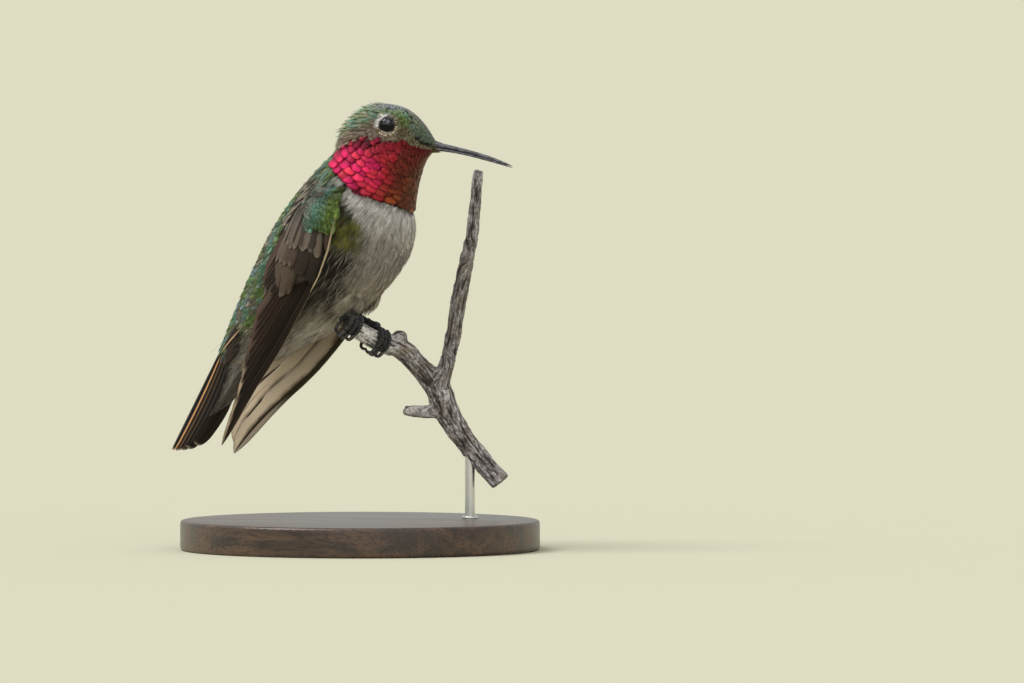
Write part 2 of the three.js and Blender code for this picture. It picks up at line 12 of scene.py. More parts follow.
import bpy
import numpy as np
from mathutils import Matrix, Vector, noise
from mathutils.bvhtree import BVHTree
from mathutils.kdtree import KDTree


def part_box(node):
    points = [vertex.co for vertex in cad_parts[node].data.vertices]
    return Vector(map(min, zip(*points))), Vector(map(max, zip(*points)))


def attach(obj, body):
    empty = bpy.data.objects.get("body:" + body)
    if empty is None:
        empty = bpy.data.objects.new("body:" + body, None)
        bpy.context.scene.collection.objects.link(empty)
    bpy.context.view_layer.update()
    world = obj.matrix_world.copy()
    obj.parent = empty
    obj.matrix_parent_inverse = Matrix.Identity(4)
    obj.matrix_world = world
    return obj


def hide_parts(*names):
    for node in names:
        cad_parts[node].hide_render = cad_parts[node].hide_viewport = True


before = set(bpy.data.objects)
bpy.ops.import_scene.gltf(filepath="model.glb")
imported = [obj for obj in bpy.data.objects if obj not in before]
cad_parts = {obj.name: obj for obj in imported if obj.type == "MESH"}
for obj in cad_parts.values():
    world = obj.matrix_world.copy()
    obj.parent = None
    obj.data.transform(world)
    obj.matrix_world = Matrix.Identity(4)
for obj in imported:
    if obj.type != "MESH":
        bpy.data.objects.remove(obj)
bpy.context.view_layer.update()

MM = 0.001
RIGHT, LEFT = -1, 1

# ---- driving sizes

# How far the skin lies under the plumage's surface, in mm, for each place along the body.
COAT_DEPTH = [(0.0, 0.12), (0.08, 0.28), (0.25, 0.5), (0.42, 0.75), (1.0, 0.75)]
HEAD_TURN = math.radians(17)
HEAD_PIVOT_X = 2.6

# The body chart's ribs, from the bill to the tail: centre x and z, lean of the rib back from upright in
# degrees, and its share of the head's turn.
RIBS = np.array([
    (14.9, 80.6, 2, 1.0), (12.8, 81.5, 6, 1.0), (11.0, 81.7, 13, 1.0), (9.1, 81.3, 21, 1.0), (7.1, 80.2, 29, 1.0),
    (5.4, 78.4, 37, 0.95), (4.0, 76.0, 46, 0.8), (3.1, 73.6, 54, 0.6), (1.9, 71.4, 62, 0.35), (-0.1, 68.3, 68, 0.15),
    (-2.5, 64.1, 72, 0.0), (-5.5, 59.5, 76, 0.0), (-8.9, 54.3, 80, 0.0), (-12.8, 49.4, 82, 0.0),
    (-17.0, 45.3, 82, 0.0), (-21.5, 41.8, 80, 0.0), (-25.9, 38.6, 79, 0.0), (-31.0, 34.4, 78, 0.0),
])
FLESH = ["head", "gorget", "neck", "trunk", "tail_coverts"]
LIMBS = ["thigh_right", "thigh_left", "wing_right_arm", "wing_left_arm"]
TOES = ["inner", "middle", "outer", "hind"]
CHART_ROWS, CHART_COLUMNS = 200, 160

# Each folded wing's leading and trailing edges from wrist to tip, at even steps, as on the right side, in mm.
WINGS = {
    RIGHT: {
        "lead": [
            (-0.7, -9.6, 67.0), (-2.9, -10.7, 56.7), (-8.2, -9.9, 47.7), (-14.0, -8.0, 39.0), (-20.7, -5.8, 30.7),
            (-28.5, -3.5, 21.2),
        ],
        "trail": [
            (-9.7, -8.0, 67.5), (-13.6, -8.2, 58.5), (-17.2, -7.5, 50.0), (-20.4, -6.2, 42.0), (-24.0, -4.6, 33.5),
            (-28.4, -3.4, 22.2),
        ],
    },
    LEFT: {
        "lead": [
            (1.2, -9.6, 61.6), (-1.7, -10.7, 51.5), (-7.2, -9.9, 42.9), (-13.4, -8.3, 34.4), (-20.6, -6.4, 27.0),
            (-29.0, -4.4, 19.0),
        ],
        "trail": [
            (-7.7, -8.2, 62.9), (-12.6, -8.4, 54.6), (-17.8, -7.9, 47.0), (-23.6, -7.0, 39.4), (-28.8, -5.9, 30.6),
            (-30.4, -4.5, 20.4),
        ],
    },
}
WING_BULGE = 0.9
# Each row of flight feathers: their tips along the wing, outermost first, where each lies across the fan, the
# fan's corners across the wing at the roots and the tips, how far out it lies, and the two webs' widths in mm.
PRIMARIES = {
    "tips": [1.02, 0.995, 0.94, 0.86, 0.8, 0.74, 0.68, 0.62, 0.56, 0.51],
    "spread": {
        RIGHT: [0.02, 0.09, 0.17, 0.27, 0.38, 0.50, 0.62, 0.74, 0.86, 0.98],
        LEFT: [0.02, 0.27, 0.50, 0.68, 0.80, 0.87, 0.92, 0.95, 0.98, 1.0],
    },
    "from": 0.2,
    "roots": (0.03, 0.62),
    "ends": (0.3, 1.0),
    "level": (0.0, 0.95),
    "webs": {RIGHT: (0.5, 2.6), LEFT: (0.7, 4.4)},
    "edges": [0.5, 0.1, 0.2, 0.0, 0.05, 0.0, 0.05, 0.0, 0.05, 0.1],
}
SECONDARIES = {
    "tips": [0.36, 0.355, 0.345, 0.33, 0.30, 0.27],
    "spread": {RIGHT: [0.08, 0.25, 0.42, 0.58, 0.75, 0.92], LEFT: [0.08, 0.25, 0.42, 0.58, 0.75, 0.92]},
    "from": 0.08,
    "roots": (0.5, 0.95),
    "ends": (0.75, 1.1),
    "level": (1.25, 1.75),
    "webs": {RIGHT: (0.8, 1.9), LEFT: (0.8, 1.9)},
    "edges": [0.1, 0.05, 0.1, 0.15, 0.05, 0.1],
}
ARM = {
    "from": -0.1, "to": 0.32, "middle": (0.48, 0.55), "half": (0.12, 0.54), "thick": (0.4, 2.0), "rise": 0.7,
    "curl": 3.2,
}
ARM_CHART = ((-0.12, 0.5), (-0.15, 1.15))  # the parts along and across the wing that the arm's chart covers

TAIL_ROOT = np.array([-27.2, 0, 46.0])
TAIL_TIP = np.array([-41.4, 0, 19.8])
TAIL_FALL = 1.5
TAIL_TIPS = [0.93, 0.975, 1.0, 1.015, 1.02, 1.02, 1.015, 1.0, 0.975, 0.93]
TAIL_HALF = [2.0, 3.4, 4.5, 4.6, 3.7]
TAIL_EDGES = [0.0, 0.05, 0.15, 1.0, 0.0, 0.0, 0.1, 0.3, 0.1, 0.0]  # how rufous each outer web's edge is

# The perch's middle line from its free end to its cut end, and the side twig's, in mm.
PERCH = [
    (-1.6, -6.6, 46.5), (-0.2, -4.0, 45.0), (1.3, 0.0, 43.0), (2.5, 4.1, 41.4), (4.9, 7.7, 40.5), (8.0, 10.3, 36.6),
    (11.4, 12.5, 32.0), (12.9, 13.2, 27.4), (15.9, 14.6, 22.2), (19.6, 15.7, 17.4), (23.1, 16.8, 13.3),
]
TWIG = [
    (11.9, 12.2, 33.5), (13.3, 12.6, 37.0), (14.3, 13.0, 41.8), (15.1, 13.2, 46.6), (15.9, 13.5, 51.6),
    (16.8, 13.8, 56.6), (18.0, 14.2, 62.2), (18.6, 14.4, 68.2), (19.3, 14.7, 75.8),
]

THIGHS = {
    RIGHT: {"hip": (-7.4, -6.0, 55.5), "heel": (-3.1, -4.9, 50.2)},
    LEFT: {"hip": (-7.4, 5.8, 52.0), "heel": (-3.2, 4.0, 46.8)},
}
EYE = {"x": 6.5, "y": 3.76, "z": 84.9, "radius": 2.2, "rim": 1.56, "rim_thick": 0.17, "rim_out": 1.58}
BILL = {
    "root": (13.2, 81.0),
    "tip": (31.0, 76.7),
    "arch": 0.55,
    "width": [2.5, 1.5, 1.1, 0.5],
    "upper": [1.15, 0.8, 0.65, 0.35],
    "lower": [0.95, 0.6, 0.5, 0.28],
}
LIMB_COAT = 0.45  # how far the skin lies inside the thighs and the wings' arms, in mm
FERRULE_HEIGHT = 6.15  # in mm over the floor
BAKE_PATCH = 0.003  # the size of one feather's patch on the bake map

# The camera's angles in degrees, its distance and its field's width in metres, and how far right of the
# stand's middle and how high it aims, in mm.
CAMERA = {"azimuth": 25, "elevation": 2, "distance": 3.0, "field": 0.2048, "aim": (30.4, 41.7)}
# Each lamp's azimuth and elevation in degrees, its strength, and how wide it looks in degrees.
LAMPS = {"key": (-50, 56, 2.1, 32), "sky": (-20, 78, 0.35, 55), "fill": (35, 30, 0.6, 80)}
SKY_COLOUR, SKY_STRENGTH = (0.98, 1.0, 0.95), 0.68
FLOOR_COLOUR = (0.515, 0.500, 0.385)


# ---- helpers


def through(values, k):
    """Catmull-Rom value through evenly spaced rows of numbers, for k from 0 to 1; k may be an array."""
    values = np.asarray(values, float)
    last = len(values) - 1
    t = np.clip(k, 0, 1) * last
    i = np.minimum(t.astype(int) if hasattr(t, "astype") else int(t), last - 1)
    f = np.asarray(t - i)
    padded = np.concatenate([[2 * values[0] - values[1]], values, [2 * values[-1] - values[-2]]])
    p0, p1, p2, p3 = (padded[i + n] for n in range(4))
    if values.ndim > 1:
        f = f[..., None]
    return 0.5 * (
        2 * p1 + (p2 - p0) * f + (2 * p0 - 5 * p1 + 4 * p2 - p3) * f**2 + (3 * p1 - p0 - 3 * p2 + p3) * f**3
    )


def smoothstep(low, high, value):
    """From 0 at `low` to 1 at `high` in a soft curve; `low` may be the greater of the two."""
    k = np.clip((value - low) / (high - low), 0, 1)
    return k * k * (3 - 2 * k)


def between(pair, share):
    """The value a share of the way from the first of a pair to the second."""
    return pair[0] + (pair[1] - pair[0]) * share


def unit(vectors):
    """Vectors brought to a length of 1."""
    return vectors / np.linalg.norm(vectors, axis=-1, keepdims=True)


def turned_head(points, share):
    """Turns points about the neck's upright axis by a share of the head's turn."""
    angle = HEAD_TURN * share
    x, y = points[..., 0] - HEAD_PIVOT_X, points[..., 1]
    turned = points.copy()
    turned[..., 0] = HEAD_PIVOT_X + x * np.cos(angle) - y * np.sin(angle)
    turned[..., 1] = x * np.sin(angle) + y * np.cos(angle)
    return turned


def facing(azimuth, elevation):
    """The direction towards a viewer or a lamp, so many degrees round from -Y towards +X and so many up."""
    azimuth, elevation = math.radians(azimuth), math.radians(elevation)
    level = math.cos(elevation)
    return Vector((math.sin(azimuth) * level, -math.cos(azimuth) * level, math.sin(elevation)))


def new_object(name, data):
    """A new object in the scene."""
    made = bpy.data.objects.new(name, data)
    bpy.context.scene.collection.objects.link(made)
    return made


def only(*objects):
    """Leaves just these objects selected, the first of them active."""
    bpy.ops.object.select_all(action="DESELECT")
    for thing in objects:
        thing.select_set(True)
    bpy.context.view_layer.objects.active = objects[0]


def edit_whole(piece, operator, **settings):
    """Runs an edit operator on the whole of a piece."""
    only(piece)
    bpy.ops.object.mode_set(mode="EDIT")
    bpy.ops.mesh.select_all(action="SELECT")
    operator(**settings)
    bpy.ops.object.mode_set(mode="OBJECT")


def primitive(name, kind, **settings):
    """A new primitive with its place in its mesh."""
    bpy.ops.object.select_all(action="DESELECT")
    getattr(bpy.ops.mesh, f"primitive_{kind}_add")(**settings)
    piece = bpy.context.object
    piece.name = piece.data.name = name
    bpy.ops.object.transform_apply()
    return piece


def mesh_piece(name, points_mm, faces):
    """A new piece from points in millimetres and faces."""
    mesh = bpy.data.meshes.new(name)
    mesh.from_pydata((np.asarray(points_mm) * MM).tolist(), [], [list(map(int, face)) for face in faces])
    mesh.update()
    return new_object(name, mesh)


def copy_of(*nodes, name):
    """One new object from copies of CAD nodes, with their loose corners merged."""
    bodies = []
    for node in nodes:
        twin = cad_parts[node].copy()
        twin.data = twin.data.copy()
        twin.parent = None
        for key in [key for key in twin.keys() if key.startswith("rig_")]:
            del twin[key]
        twin.hide_render = twin.hide_viewport = False
        bpy.context.scene.collection.objects.link(twin)
        bodies.append(twin)
    only(*bodies)
    if len(bodies) > 1:
        bpy.ops.object.join()
    piece = bpy.context.view_layer.objects.active
    piece.name = piece.data.name = name
    piece.data.materials.clear()
    edit_whole(piece, bpy.ops.mesh.remove_doubles, threshold=1e-6)
    return piece


def apply_all(piece):
    """Applies a piece's modifiers in order."""
    only(piece)
    for modifier in list(piece.modifiers):
        bpy.ops.object.modifier_apply(modifier=modifier.name)


def fuse(piece, voxel, passes):
    """Makes one unbroken surface of all a piece's forms, on a grid of so many mm, and evens it out."""
    remesh = piece.modifiers.new("fuse", "REMESH")
    remesh.mode, remesh.voxel_size = "VOXEL", voxel * MM
    smooth = piece.modifiers.new("even", "SMOOTH")
    smooth.factor, smooth.iterations = 0.5, passes
    apply_all(piece)


def swell(piece, amount):
    """Moves each vertex out along its normal by so many mm, or by what a function gives for its place."""
    for vertex, normal in zip(piece.data.vertices, [v.normal.copy() for v in piece.data.vertices]):
        vertex.co += normal * (amount(vertex.co) if callable(amount) else amount) * MM


def vertices_of(piece, what="co"):
    """A piece's vertices as rows of three numbers: their places, or what else is asked for."""
    flat = np.empty(len(piece.data.vertices) * 3)
    piece.data.vertices.foreach_get(what, flat)
    return flat.reshape(-1, 3)


def floats(values):
    return np.asarray(values).astype(np.float32).ravel()


def set_tint(mesh, tints):
    """The colour of each vertex, for the finishes."""
    layer = mesh.color_attributes.new("tint", "FLOAT_COLOR", "POINT")
    layer.data.foreach_set("color", floats(tints))


def set_map(mesh, name, places):
    """A UV map from one place for each vertex."""
    corners = np.empty(len(mesh.loops), np.int32)
    mesh.loops.foreach_get("vertex_index", corners)
    mesh.uv_layers.new(name=name).uv.foreach_set("vector", floats(places[corners]))


# ---- camera


def make_camera():
    """A long lens level with the bird, which is turned a little towards it."""
    right, height = CAMERA["aim"]
    azimuth = math.radians(CAMERA["azimuth"])
    aim = Vector((right * math.cos(azimuth) * MM, right * math.sin(azimuth) * MM, height * MM))
    back = facing(CAMERA["azimuth"], CAMERA["elevation"])
    data = bpy.data.cameras.new("camera")
    data.sensor_width = 36
    data.lens = data.sensor_width * CAMERA["distance"] / CAMERA["field"]
    data.clip_start, data.clip_end = 0.1, 20
    camera = new_object("camera", data)
    camera.location = aim + back * CAMERA["distance"]
    camera.rotation_mode = "QUATERNION"
    camera.rotation_quaternion = (-back).to_track_quat("-Z", "Y")
    bpy.context.scene.camera = camera


# ---- body chart


class Chart:
    """A grid of surface points that plumage is laid on: rows run along it and columns run round it.

    Its normals point away from the rows' middles, or outwards as told.
    """

    def __init__(self, points, closed, outwards=None):
        self.points = points
        self.closed = closed
        rows, columns = points.shape[:2]
        self.along_step = 1 / (rows - 1)
        self.round_step = 1 / columns if closed else 1 / (columns - 1)
        down = np.gradient(points, axis=0) / self.along_step
        if closed:
            across = (np.roll(points, -1, 1) - np.roll(points, 1, 1)) / (2 * self.round_step)
        else:
            across = np.gradient(points, axis=1) / self.round_step
        normal = np.cross(down, across)
        normal /= np.linalg.norm(normal, axis=-1, keepdims=True) + 1e-12
        if outwards is None:
            outwards = points - points.mean(axis=1, keepdims=True)
        normal = normal * np.sign(np.sum(normal * outwards))
        self.layers = np.concatenate([points, normal, down, across], axis=-1)

    def at(self, along, round_):
        """Points, normals and the two gradients at places on the chart, whose values run from 0 to 1."""
        rows, columns = self.points.shape[:2]
        a = np.clip(along, 0, 1) / self.along_step
        i = np.minimum(a.astype(int), rows - 2)
        fa = (a - i)[..., None]
        if self.closed:
            c = (round_ % 1.0) / self.round_step
            j = c.astype(int) % columns
            j2 = (j + 1) % columns
            fc = (c - np.floor(c))[..., None]
        else:
            c = np.clip(round_, 0, 1) / self.round_step
            j = np.minimum(c.astype(int), columns - 2)
            j2 = j + 1
            fc = (c - j)[..., None]
        g = self.layers
        mixed = (g[i, j] * (1 - fa) + g[i + 1, j] * fa) * (1 - fc) + (g[i, j2] * (1 - fa) + g[i + 1, j2] * fa) * fc
        # beyond the ends the surface carries straight on
        over = (along - np.clip(along, 0, 1))[..., None]
        point = mixed[..., :3] + mixed[..., 6:9] * over
        return point, mixed[..., 3:6], mixed[..., 6:9], mixed[..., 9:12]


def smoothed(radii, passes):
    """Evens out a grid of radii, closed round its columns."""
    for _ in range(passes):
        round_mean = (np.roll(radii, 1, 1) + np.roll(radii, -1, 1) + 2 * radii) / 4
        first, last = 2 * round_mean[:1] - round_mean[1:2], 2 * round_mean[-1:] - round_mean[-2:-1]
        padded = np.concatenate([first, round_mean, last])
        radii = (padded[:-2] + padded[2:] + 2 * padded[1:-1]) / 4
    return radii


def body_chart():
    """The outer surface of the body, found from a fan of ribs and evened out."""
    form = copy_of(*FLESH, name="chart_form")
    tree = BVHTree.FromObject(form, bpy.context.evaluated_depsgraph_get())
    along = np.linspace(0, 1, CHART_ROWS)
    rib = through(RIBS, along)
    angles = np.arange(CHART_COLUMNS) / CHART_COLUMNS * 2 * math.pi
    lean = np.radians(rib[:, 2])
    centre = np.stack([rib[:, 0], np.zeros(CHART_ROWS), rib[:, 1]], -1)
    back = np.stack([-np.sin(lean), np.zeros(CHART_ROWS), np.cos(lean)], -1)
    rays = np.cos(angles)[None, :, None] * back[:, None] + np.sin(angles)[None, :, None] * np.array([0, -1.0, 0])
    share = np.broadcast_to(rib[:, 3][:, None], rays.shape[:2])
    far = 30  # a ray's length in mm, which is more than any rib's
    starts = turned_head(np.broadcast_to(centre[:, None], rays.shape).copy(), share)
    ends = turned_head(centre[:, None] + far * rays, share)
    radii = np.zeros(rays.shape[:2])
    for i in range(CHART_ROWS):
        for j in range(CHART_COLUMNS):
            out = Vector(ends[i, j] * MM)
            way = (Vector(starts[i, j] * MM) - out).normalized()
            hit, _, _, distance = tree.ray_cast(out, way)
            radii[i, j] = far - distance / MM if hit else np.nan
    bpy.data.objects.remove(form)
    for i in range(CHART_ROWS):  # a ray that slipped through a parting takes its neighbours' value
        row = radii[i]
        bad = np.isnan(row) | (row < 0.6 * np.nanmedian(row))
        if bad.any() and not bad.all():
            row[bad] = np.interp(np.flatnonzero(bad), np.flatnonzero(~bad), row[~bad], period=CHART_COLUMNS)
    radii = smoothed(radii, 6)
    points = turned_head(centre[:, None] + radii[..., None] * rays, share)
    return Chart(points, closed=True)


def wing_edges(wing, s):
    """The leading and trailing edge points of a folded wing at places along it, carried on past the ends."""
    inside = np.clip(s, 0, 1)
    over = (s - inside)[..., None]
    edges = []
    for edge in (wing["lead"], wing["trail"]):
        point = through(edge, inside)
        slope = (through(edge, np.minimum(inside + 0.02, 1)) - through(edge, np.maximum(inside - 0.02, 0))) / 0.02
        slope = slope / np.where((inside <= 0.02) | (inside >= 0.98), 1, 2)[..., None]
        edges.append(point + slope * over)
    return edges


def wing_out(wing, s):
    """The wing's outward direction."""
    step = 0.02
    middle = [sum(wing_edges(wing, s + d)) / 2 for d in (-step, step)]
    lead, trail = wing_edges(wing, np.minimum(s, 0.85))
    return unit(np.cross(trail - lead, middle[1] - middle[0]))


def wing_point(wing, s, c, rise):
    """A point of a folded right wing: along it by s, across it by c from the leading edge, out by rise."""
    s, c, rise = np.broadcast_arrays(np.asarray(s, float), np.asarray(c, float), np.asarray(rise, float))
    lead, trail = wing_edges(wing, s)
    bulge = WING_BULGE * 4 * c * (1 - c) * (1 - np.clip(s, 0, 1))
    return lead + (trail - lead) * c[..., None] + wing_out(wing, s) * (bulge + rise)[..., None]


def mirrored(points, side):
    """Points of the right side, carried over to the left if that is the side."""
    return points * np.array([1, -side, 1.0])


def wing_chart(side):
    """The surface of the wing's arm, for its coverts: along from shoulder to mid wing, across from the edge."""
    s, c = np.linspace(*ARM_CHART[0], 60)[:, None], np.linspace(*ARM_CHART[1], 40)[None, :]
    k = np.clip((s - ARM["from"]) / (ARM["to"] - ARM["from"]), 0, 1)
    full = np.sqrt(np.clip(1 - np.abs(2 * k - 1) ** 3, 0, 1))
    half, thick = between(ARM["half"], full), between(ARM["thick"], full)
    round_top = np.sqrt(np.clip(1 - ((c - between(ARM["middle"], k)) / half) ** 2, 0, 1))
    # the top of the arm curls in to the shoulder
    thick = thick - ARM["curl"] * smoothstep(0.02, -0.12, s) ** 2
    beyond = smoothstep(ARM["to"] - 0.04, ARM["to"] + 0.14, s)
    rise = (ARM["rise"] + thick * np.where(thick > 0, round_top, 1)) * (1 - beyond)
    rise = rise + (0.4 + 1.2 * np.clip(c, 0, 1)) * beyond
    points = wing_point(WINGS[side], s, c, smoothed_open(rise, 3))
    return Chart(mirrored(points, side), closed=False, outwards=np.array([0, side, 0]))


def smoothed_open(grid, passes):
    """Evens out a grid with open edges."""
    for _ in range(passes):
        padded = np.pad(grid, 1, mode="edge")
        grid = (padded[:-2, 1:-1] + padded[2:, 1:-1] + padded[1:-1, :-2] + padded[1:-1, 2:] + 2 * grid) / 6
    return grid


def limb_chart(route, radii):
    """A round limb's surface, from its root to its end."""
    rows, turns = 30, 48
    k = np.linspace(0, 1, rows)
    centre = through(route, k)
    tangent = unit(np.gradient(centre, axis=0))
    side = unit(np.cross(tangent, (0.3, 0.9, 0.1)))
    other = np.cross(tangent, side)
    angle = (np.arange(turns) / turns * 2 * math.pi)[None, :, None]
    ring = side[:, None] * np.cos(angle) + other[:, None] * np.sin(angle)
    return Chart(centre[:, None] + ring * through(radii, k)[:, None, None], closed=True)


# ---- markings
#
# Colours are linear. Each marking is a function of the body chart's place: along from 0 to 1, and round in
# degrees from the back, the same on both sides.

CROWN_GREEN = (0.170, 0.240, 0.125)
CROWN_TEAL = (0.135, 0.265, 0.200)
CROWN_MAUVE = (0.300, 0.290, 0.330)
CROWN_BROWN = (0.500, 0.430, 0.330)
LORE_OLIVE = (0.130, 0.110, 0.045)
LORE_LIME = (0.170, 0.230, 0.045)
BROW_OLIVE = (0.175, 0.175, 0.140)
GAPE_BLACK = (0.012, 0.010, 0.008)
BACK_GREEN = (0.180, 0.300, 0.085)
BACK_TEAL = (0.185, 0.350, 0.275)
BACK_BLUE = (0.240, 0.390, 0.500)
BACK_GREY = (0.330, 0.275, 0.230)
BACK_DARK = (0.050, 0.038, 0.028)
SIDE_OLIVE = (0.400, 0.400, 0.085)
SIDE_DARK = (0.085, 0.090, 0.050)
FACE_BROWN = (0.430, 0.330, 0.260)
EYE_WHITE = (0.960, 0.940, 0.930)
EYE_CREAM = (0.480, 0.390, 0.270)
BEAD_CREAM = (0.720, 0.610, 0.440)
BEAD_BROWN = (0.120, 0.085, 0.050)
GORGET_GLINT_MAGENTA = (0.740, 0.010, 0.125)
GORGET_GLINT_SCARLET = (0.720, 0.030, 0.075)
GORGET_MID = (0.400, 0.012, 0.026)
GORGET_DARK = (0.150, 0.018, 0.010)
GORGET_FRONT = (0.150, 0.038, 0.012)
GORGET_RUST = (0.520, 0.140, 0.010)
COLLAR_WHITE = (0.900, 0.860, 0.840)
BREAST_GREY = (0.620, 0.560, 0.530)
BELLY_BROWN = (0.720, 0.640, 0.530)
FLANK_DARK = (0.036, 0.026, 0.020)
VENT_GREY = (0.820, 0.760, 0.680)
DOWN_WHITE = (0.950, 0.950, 0.900)
THIGH_BLACK = (0.022, 0.018, 0.020)
COVERT_LIME = (0.200, 0.270, 0.055)
COVERT_BROWN = (0.128, 0.092, 0.069)
QUILL_BROWN = (0.070, 0.044, 0.031)
QUILL_BLACK = (0.018, 0.012, 0.008)
QUILL_RUFOUS = (0.700, 0.440, 0.240)
WING_EDGE_BUFF = (0.460, 0.360, 0.220)
PALE_RIM = (0.400, 0.350, 0.290)

# The gorget's borders as pairs: the degrees at which it starts for each place along, and the place along at
# which it ends for each angle.
GORGET_TOP = [
    (0.0, 121), (0.062, 106), (0.127, 97), (0.194, 81), (0.24, 73), (0.284, 61), (0.307, 47), (0.346, 36), (0.383, 26),
    (0.415, 13),
]
GORGET_END = [
    (14, 0.42), (33, 0.452), (58, 0.456), (76, 0.456), (85, 0.476), (99, 0.470), (127, 0.445), (141, 0.424),
    (180, 0.410),
]
# How far round the gorget's painted iridescent glint reaches, in degrees from the back, for each place along.
GORGET_GLINT_REACH = [(0.10, 78), (0.20, 90), (0.30, 104), (0.38, 117), (0.46, 130)]
# The degrees at which the brown cheek starts under the green crown, and those of the dark line at the gape.
CHEEK_TOP = [(0.21, 38), (0.255, 37), (0.289, 33), (0.326, 23), (0.38, 12)]
GAPE = [(0.0, 81), (0.036, 86), (0.056, 83), (0.078, 77)]
# How far round towards the belly the olive patch of the breast's side reaches, where the dark streak runs down
# to the foot, where the grey sides of the tail's root begin, and where the white collar ends at the shoulder.
OLIVE_FRONT = [(0.485, 66), (0.496, 85), (0.509, 101), (0.529, 118), (0.553, 127), (0.586, 133), (0.62, 128)]
LEG_STREAK = [(0.60, 116), (0.642, 124), (0.677, 128), (0.717, 136), (0.757, 151), (0.78, 157)]
VENT_SIDE = [(0.80, 84), (0.84, 58), (0.86, 54), (0.895, 68), (0.93, 88)]
COLLAR_END = [(0.45, 47), (0.475, 60), (0.491, 71)]
# How far round the back's feathers reach, and the last place along that they reach, by degrees from the back.
BACK_BORDER = [
    (0.42, 38), (0.47, 42), (0.50, 68), (0.54, 76), (0.56, 80), (0.7, 100), (0.8, 90), (0.845, 60), (0.86, 56),
    (0.895, 70), (0.93, 90), (1.0, 110),
]
RUMP_END = [(0, 0.955), (38, 0.94), (47, 0.91), (56, 0.865), (75, 0.84), (110, 0.82)]


def lookup(table, value):
    """Straight-line lookup in a table of pairs; a plain number stands for itself."""
    if isinstance(table, float):
        return np.full(np.shape(value), table)
    places, values = zip(*table)
    return np.interp(value, places, values)


def fold(round_):
    """Degrees from the back, 0 to 180 on either side, of places round the body from 0 to 1."""
    degrees = (np.asarray(round_) % 1.0) * 360
    return np.where(degrees > 180, 360 - degrees, degrees)


def blend(first, second, share):
    """Colours a share of the way from the first to the second, with one share for each."""
    share = np.asarray(share)[..., None]
    return np.asarray(first) * (1 - share) + np.asarray(second) * share


def patches(points, size, seed):
    """Smooth noise from about -1 to 1 over points, in patches of about so many mm."""
    shift = Vector((seed * 7.3, 0, 0))
    return np.array([1.6 * noise.noise(Vector(point / size) + shift) for point in points])


def eye_offset(points):
    """How far behind the eye's middle and how far above it points of the head lie, in mm."""
    level = turned_head(points, -1.0)
    return EYE["x"] - level[..., 0], level[..., 2] - EYE["z"]


def in_gorget(along, degrees):
    """How far inside the gorget a place is, as a share of the body's length: negative outside it."""
    top = (degrees - lookup(GORGET_TOP, along)) / 400
    end = lookup(GORGET_END, degrees) - along
    return np.minimum(top, end)


def crown_colour(points, along, degrees, chance):
    """Green and teal with mauve tips on the forehead, a brown cheek, a dark gape line over a buff band."""
    drift = chance - 0.5
    behind, above = eye_offset(points)
    colour = blend(CROWN_GREEN, CROWN_TEAL, smoothstep(-0.1, 0.5, patches(points, 1.3, 1) + 1.1 * drift))
    brown = smoothstep(0.0, 0.5, patches(points, 1.5, 2) + 1.0 * drift) * smoothstep(0.14, 0.22, along)
    colour = blend(1.5 * colour, CROWN_BROWN, 0.75 * brown)
    colour = blend(colour, CROWN_MAUVE, 0.8 * smoothstep(28, 14, degrees - 14 * drift) * smoothstep(0.26, 0.17, along))
    lime = smoothstep(2.1, 0.9, np.hypot(behind + 2.9, above - 0.9) + drift)
    colour = blend(colour, LORE_LIME, 0.8 * lime)
    colour = blend(colour, BROW_OLIVE, 0.7 * smoothstep(0.13, 0.07, along))
    colour = blend(colour, BACK_DARK, 0.75 * smoothstep(0.2, 0.1, chance))
    lore = smoothstep(2.3, 1.2, np.hypot(behind + 3.2, above + 1.7) + 0.8 * drift)
    colour = blend(colour, blend(LORE_OLIVE, FACE_BROWN, 0.5 * chance), lore)
    cheek = smoothstep(-4, 5, degrees + 12 * drift - lookup(CHEEK_TOP, along)) * smoothstep(0.165, 0.20, along)
    cheek = cheek * smoothstep(0.45, 0.40, along)
    colour = blend(colour, blend(FACE_BROWN, BACK_GREY, 0.8 * chance), cheek)
    buff = smoothstep(0, 5, degrees - lookup(GAPE, along) + 4 * drift) * smoothstep(0.17, 0.12, along)
    colour = blend(colour, blend(LORE_OLIVE, EYE_CREAM, chance), 0.9 * buff)
    wide = lookup([(0.0, 10), (0.04, 7), (0.08, 4.5)], along)
    gape = smoothstep(wide, 0.6 * wide, np.abs(degrees - lookup(GAPE, along))) * smoothstep(0.085, 0.075, along)
    colour = blend(colour, GAPE_BLACK, gape)
    away = np.hypot(behind, above) + 1e-6
    hind = (behind * 0.72 + above * 0.69) / away
    colour = blend(colour, blend(EYE_CREAM, FACE_BROWN, chance), 0.8 * smoothstep(2.7, 2.2, away))
    return blend(colour, EYE_WHITE, smoothstep(0.60, 0.85, hind) * smoothstep(2.6, 2.2, away + 0.3 * drift))


